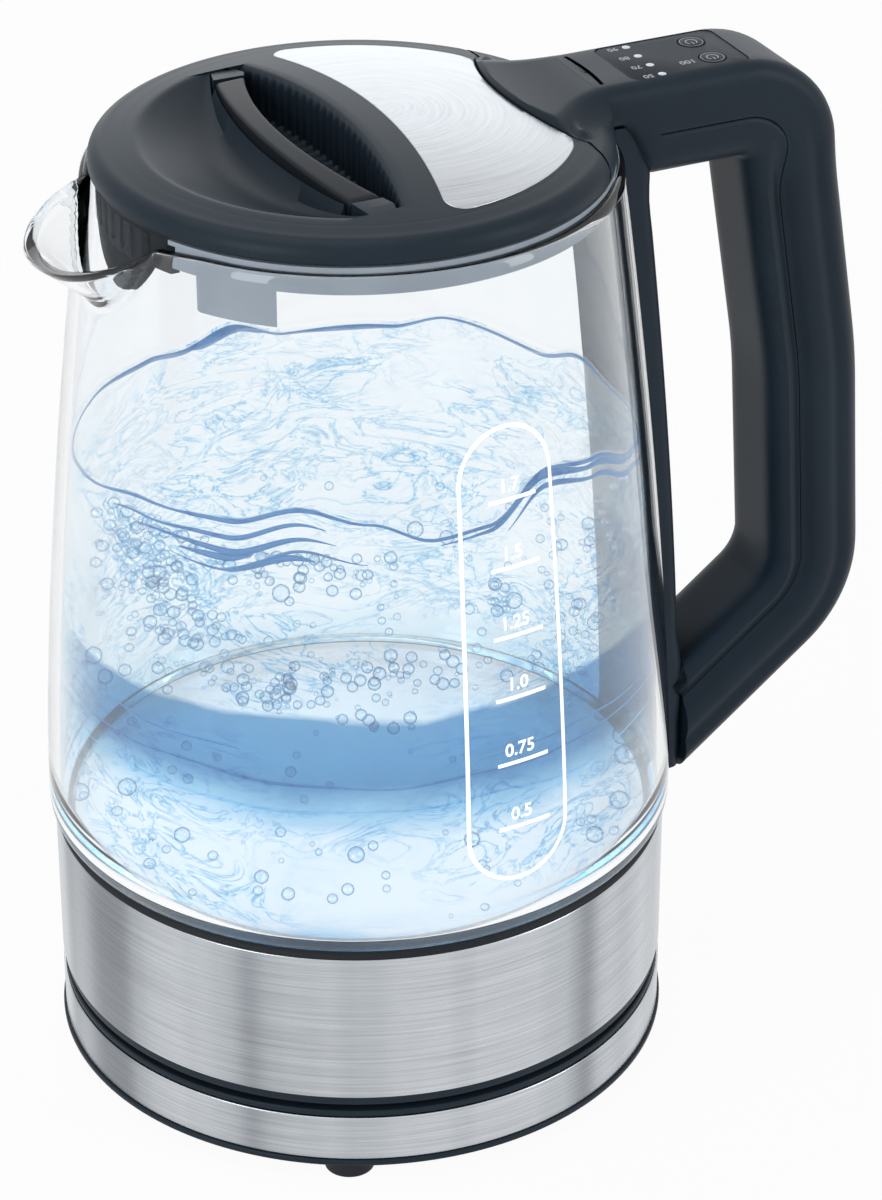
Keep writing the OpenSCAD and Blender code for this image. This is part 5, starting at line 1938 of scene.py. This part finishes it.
@dataclass
class Water:
    """Boiling water in the jug, with its bubbles."""

    floor_z: float = 63.6
    floor_r: float = 69.3
    heel_z: float = 68.4
    level: float = 165.5
    gap: float = 0.35
    seed: int = 7
    shore: Tuple[Tuple[float, float], ...] = (
        (-180, 166), (-159, 170), (-140, 171), (-124.5, 176), (-111.6, 173), (-99, 168), (-88, 169), (-74.5, 178),
        (-60, 175), (-46, 169), (-22, 165), (-3, 162), (8, 164), (22, 159), (45, 162), (58, 158), (81, 157), (94, 162),
        (106, 159), (117, 161), (139, 163), (180, 166))
    drifts: Tuple[Tuple[float, float, int, float, float], ...] = (
        (-163, 150, 90, 9, 8), (-150, 141, 40, 9, 6), (-150, 159, 26, 8, 4), (-128, 160, 40, 9, 3),
        (-112, 156, 16, 5, 6), (-60, 153, 24, 8, 6), (-68, 138, 24, 8, 7), (-46, 145, 20, 8, 9),
        (-135, 131, 50, 12, 4), (-116, 132, 60, 11, 5), (-100, 137, 24, 6, 5), (-84, 150, 14, 5, 6))
    deep: Tuple[Strand, ...] = (
        Strand(-180, 180, 0.5), Strand(-98, -30, 0.9, 1.6), Strand(-84, -34, 0.7, 4.5, 0.0, 1.6),
        Strand(86, 104, 1.5, 0.2), Strand(54, 82, 0.7), Strand(-168, -120, 0.5, 3.4, 0.0, 1.5),
        Strand(-160, -118, 0.7, 6.4, 0.0, 2.2), Strand(-152, -112, 0.5, 9.6, 0.0, 3.0),
        Strand(-141, -122, 1.1, 12.0, 0.0, 2.0), Strand(-150, -134, 0.9, 8.0, 0.0, 2.0))
    pale: Tuple[Strand, ...] = (
        Strand(-188, -40, 0.4, 0.0, 108.5, 1.6), Strand(-176, -46, 0.35, 0.0, 102.0, 1.8),
        Strand(-170, -136, 0.3, 0.0, 116.0, 1.4), Strand(-92, -50, 0.3, 0.0, 112.5, 1.6))

    def build(self, looks: Finishes) -> None:
        """Build and dress the water, its threads and the bubbles.

        Args:
            looks: the finishes.
        """
        Bench.fit(self.body(), looks.water, Body.JUG, "")
        # The pale threads are painted lines of light in the blue band.
        for name, strands, look in (("water_line", self.deep, looks.line), ("water_foam", self.pale, looks.pale_glow)):
            for k, strand in enumerate(strands, start=1):
                Bench.fit(self.thread(f"{name}_{k}", strand), look, Body.JUG, "")
        Bench.fit(self.bubbles(), looks.bubble, Body.JUG, "")

    def inside(self, z: float) -> float:
        """Radius of the water at height z.

        Args:
            z: height.

        Returns:
            The radius.
        """
        if z < self.heel_z:
            swell = OUTLINE.glass(self.heel_z) - OUTLINE.wall - self.gap - self.floor_r
            return self.floor_r + swell * ((z - self.floor_z) / (self.heel_z - self.floor_z)) ** 0.5
        return OUTLINE.glass(z) - OUTLINE.wall - self.gap

    def bank(self, turn: float) -> float:
        """Height of the water's edge on the glass at a turn.

        Args:
            turn: direction in degrees.

        Returns:
            The height.
        """
        turn = (turn + 180.0) % 360.0 - 180.0
        for (a, low), (b, high) in zip(self.shore, self.shore[1:]):
            if a <= turn <= b:
                return low + (high - low) * smooth_step(a, b, turn)
        return self.level

    def surface(self, x: float, y: float) -> float:
        """Height of the water's top at a place.

        Args:
            x: place from the spout to the handle.
            y: place across it.

        Returns:
            The height.
        """
        near = min(1.0, math.hypot(x, y) / self.inside(self.level)) ** 3
        swell = noise.noise(Vector((x * 0.022, y * 0.022, 1.7))) * 9.0
        chop = noise.noise(Vector((x * 0.075, y * 0.075, 4.1))) * 4.0
        fine = noise.noise(Vector((x * 0.2, y * 0.2, 8.3))) * 1.0
        bank = self.bank(math.degrees(math.atan2(y, x)))
        return self.level + (bank - self.level) * near + (swell + chop) * (1.0 - near) + fine * (1.0 - 0.6 * near)

    def body(self) -> Piece:
        """Build the water's skin: floor, wall and heaving top.

        Returns:
            The new object.
        """
        rings: List[List[Point]] = []
        for c, s in circle(180):
            ring: List[Point] = [(20.0 * k * c, 20.0 * k * s, self.floor_z) for k in (0.002, 1, 2, 3)]
            top_r = self.inside(self.level)
            top = self.surface(top_r * c, top_r * s) + 1.2
            for k in range(37):
                z = self.floor_z + (top - self.floor_z) * (k / 36) ** 1.1
                r = self.inside(z)
                ring.append((r * c, r * s, z))
            for k in range(1, 41):
                r = self.inside(top) * (1 - k / 40.02)
                rise = 1.2 * math.exp(-(self.inside(top) - r) / 2.0)
                ring.append((r * c, r * s, self.surface(r * c, r * s) + rise))
            rings.append(ring)
        return Shape.loft("boiling_water", rings, closed=False, caps=False, loop=True, sharp=80)

    def thread(self, name: str, strand: Strand) -> Piece:
        """Build one thread of painted light in the water that swells and thins out.

        Args:
            name: name of the piece.
            strand: course and thickness of the thread.

        Returns:
            The new object.
        """
        rings: List[List[Point]] = []
        whole = strand.stop - strand.start >= 360.0
        steps = max(24, int((strand.stop - strand.start) / 1.2))
        for i in range(steps if whole else steps + 1):
            turn = strand.start + (strand.stop - strand.start) * i / steps
            c, s = math.cos(math.radians(turn)), math.sin(math.radians(turn))
            sway = noise.noise(Vector((c * 3.1, s * 3.1, strand.drop + strand.level * 0.3))) * strand.bend
            z = (strand.level or self.bank(turn) - strand.drop) + sway * (1.0 if strand.level or strand.drop else 0.0)
            ends = 1.0 if whole else max(0.04, math.sin(math.pi * i / steps)) ** 0.5
            uneven = 0.6 + 1.3 * abs(noise.noise(Vector((c * 2.3, s * 2.3, 5.5 + strand.drop))))
            thick = strand.thick * ends * uneven
            r = self.inside(z) - thick
            rings.append([((r + 0.6 * thick * out) * c, (r + 0.6 * thick * out) * s, z + thick * up)
                          for out, up in circle(10)])
        return Shape.loft(name, rings, closed=True, caps=not whole, loop=whole, sharp=80)

    def bubbles(self) -> Piece:
        """Build bubbles on the glass near the floor, and in drifts under the surface.

        Returns:
            The new object.
        """
        draw = random.Random(self.seed)
        work = bmesh.new()
        spots: List[Tuple[float, float, float, float]] = []
        for _ in range(36):
            spots.append((draw.uniform(-180, 180), draw.uniform(74, 100), draw.uniform(1.2, 2.5), draw.uniform(0.4, 3)))
        for _ in range(110):
            spots.append((draw.uniform(-180, 180), draw.uniform(69, 118), draw.uniform(0.4, 1.3), draw.uniform(0.4, 4)))
        for turn, z, count, wide, high in self.drifts:
            for _ in range(count):
                around, level = turn + draw.gauss(0, wide), min(z + draw.gauss(0, high), 163)
                spots.append((around, level, draw.uniform(0.35, 1.6), draw.uniform(0.3, 5)))
        for turn, z, r, deep in spots:
            place = self.inside(z) - r - deep
            a = math.radians(turn)
            spot = Matrix.Translation((place * math.cos(a) * MM, place * math.sin(a) * MM, z * MM))
            bmesh.ops.create_icosphere(work, subdivisions=2, radius=r * MM, matrix=spot)
        mesh = bpy.data.meshes.new("water_bubbles")
        work.to_mesh(mesh)
        work.free()
        mesh.polygons.foreach_set("use_smooth", [True] * len(mesh.polygons))
        return Shape.link("water_bubbles", mesh)


# ---------------------------------------------------------------- studio


@dataclass
class Studio:
    """Pale floor, soft lights and the camera."""

    eye: Point = (-0.35158, -0.78409, 0.6034)
    aim: Point = (0.3745, 0.7853, -0.4930)
    lens: float = 122.78
    half: float = 6.0
    lamps: Tuple[Tuple[str, Point, Tuple[float, float], float], ...] = (
        ("overhead", (-0.3, 0.2, 1.5), (1.0, 1.0), 5.0), ("left", (-1.3, -0.6, 0.5), (0.4, 1.3), 9.0),
        ("right", (1.0, -1.0, 0.5), (0.3, 1.2), 6.0), ("back", (0.5, 1.3, 0.6), (1.0, 1.0), 3.3))

    def build(self) -> None:
        """Set up the whole studio."""
        self.floor()
        self.sky()
        self.lights()
        self.camera()

    def floor(self) -> None:
        """Wide pale floor that stays white and takes soft shade."""
        mesh = bpy.data.meshes.new("studio_floor")
        h = self.half
        mesh.from_pydata([(-h, -h, 0), (h, -h, 0), (h, h, 0), (-h, h, 0)], [], [(0, 1, 2, 3)])
        piece = Shape.link("studio_floor", mesh)
        tree = Tree("studio_floor")
        tone = tree.ramp(tree.noise(tree.place(), 1.5, 2.0), ((0.0, (0.9, 0.9, 0.9)), (1.0, (0.93, 0.93, 0.93))))
        shade = tree.add("BsdfDiffuse")
        tree.wire(tone, shade.inputs["Color"])
        white = tree.add("Emission", {"Color": (1.0, 1.0, 1.0, 1.0), "Strength": 1.0})
        mesh.materials.append(tree.finish(tree.mix(tree.math("MULTIPLY", tree.seen(), 0.95), shade, white)))

    def sky(self) -> None:
        """White surroundings for the camera and for reflections, calmer for the light."""
        world = bpy.data.worlds.new("studio_world")
        bpy.context.scene.world = world
        tree = Tree("studio_world", world)
        soft = tree.add("Background", {"Color": (0.93, 0.95, 1.0, 1.0), "Strength": 0.3})
        white = tree.add("Background", {"Color": (1.0, 1.0, 1.0, 1.0), "Strength": 1.0})
        tree.finish(tree.mix(tree.seen(), soft, white))

    def lamp(self, name: str, place: Point, aim: Point, size: Tuple[float, float],
             power: float, colour: Colour = (0.93, 0.97, 1.0)) -> None:
        """Add a soft box.

        Args:
            name: name of the lamp.
            place: where it hangs, in metres.
            aim: where it points.
            size: width and height.
            power: power in watts.
            colour: colour of its light.
        """
        lamp = bpy.data.lights.new(name, "AREA")
        lamp.shape = "RECTANGLE"
        lamp.size, lamp.size_y = size
        lamp.energy = power
        lamp.color = colour
        holder = bpy.data.objects.new(name, lamp)
        holder.location = place
        holder.rotation_euler = (Vector(aim) - Vector(place)).to_track_quat("-Z", "Y").to_euler()
        bpy.context.scene.collection.objects.link(holder)

    def lights(self) -> None:
        """Soft boxes round the kettle."""
        middle = (0.0, 0.0, 0.12)
        for name, place, size, power in self.lamps:
            self.lamp(name, place, middle, size, power)

    def camera(self) -> None:
        """Place the camera."""
        lens = bpy.data.cameras.new("main_camera")
        lens.sensor_fit = "VERTICAL"
        lens.sensor_height = 36.0
        lens.lens = self.lens
        lens.clip_start = 0.05
        holder = bpy.data.objects.new("main_camera", lens)
        holder.location = self.eye
        holder.rotation_euler = Vector(self.aim).to_track_quat("-Z", "Y").to_euler()
        bpy.context.scene.collection.objects.link(holder)
        bpy.context.scene.camera = holder
        bpy.context.scene.view_settings.view_transform = "Standard"


# ---------------------------------------------------------------- all together


@dataclass
class Kettle:
    """The whole kettle."""

    base: PowerBase = field(default_factory=PowerBase)
    jug: JugShell = field(default_factory=JugShell)
    handle: Handle = field(default_factory=Handle)
    lid: Lid = field(default_factory=Lid)
    controls: Controls = field(default_factory=Controls)
    scale: WaterScale = field(default_factory=WaterScale)
    water: Water = field(default_factory=Water)

    def build(self, looks: Finishes) -> None:
        """Build and dress every sub-assembly.

        Args:
            looks: the finishes.
        """
        self.base.build(looks)
        self.jug.build(looks)
        self.handle.build(looks)
        self.lid.build(looks)
        arms = [bpy.data.objects[name] for name in ("handle_outer_shell", "hinge_housing_arm")]
        self.controls.build(looks, arms)
        self.scale.build(looks)
        self.water.build(looks)


def dress_nodes(looks: Finishes, frame: Dict[str, object]) -> None:
    """Give every plain construction node its finish by slot.

    Args:
        looks: the finishes.
        frame: the loaded frame with its nodes and record.
    """
    slots = looks.by_slot()
    nodes = frame["nodes"]
    for part in frame["record"]["subparts"]:
        name = part["node"]
        nodes[name].data.materials.clear()
        nodes[name].data.materials.append(looks.cloth if name == "filter_mesh" else slots[part["material_slot"]])
        LOG.info("%s dressed from slot %s", name, part["material_slot"])


def main() -> None:
    """Build the scene."""
    logging.basicConfig(level=logging.INFO, format="%(name)s %(message)s")
    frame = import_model()
    looks = Finishes()
    dress_nodes(looks, frame)
    Kettle().build(looks)
    Studio().build()


if __name__ == "__main__":
    main()
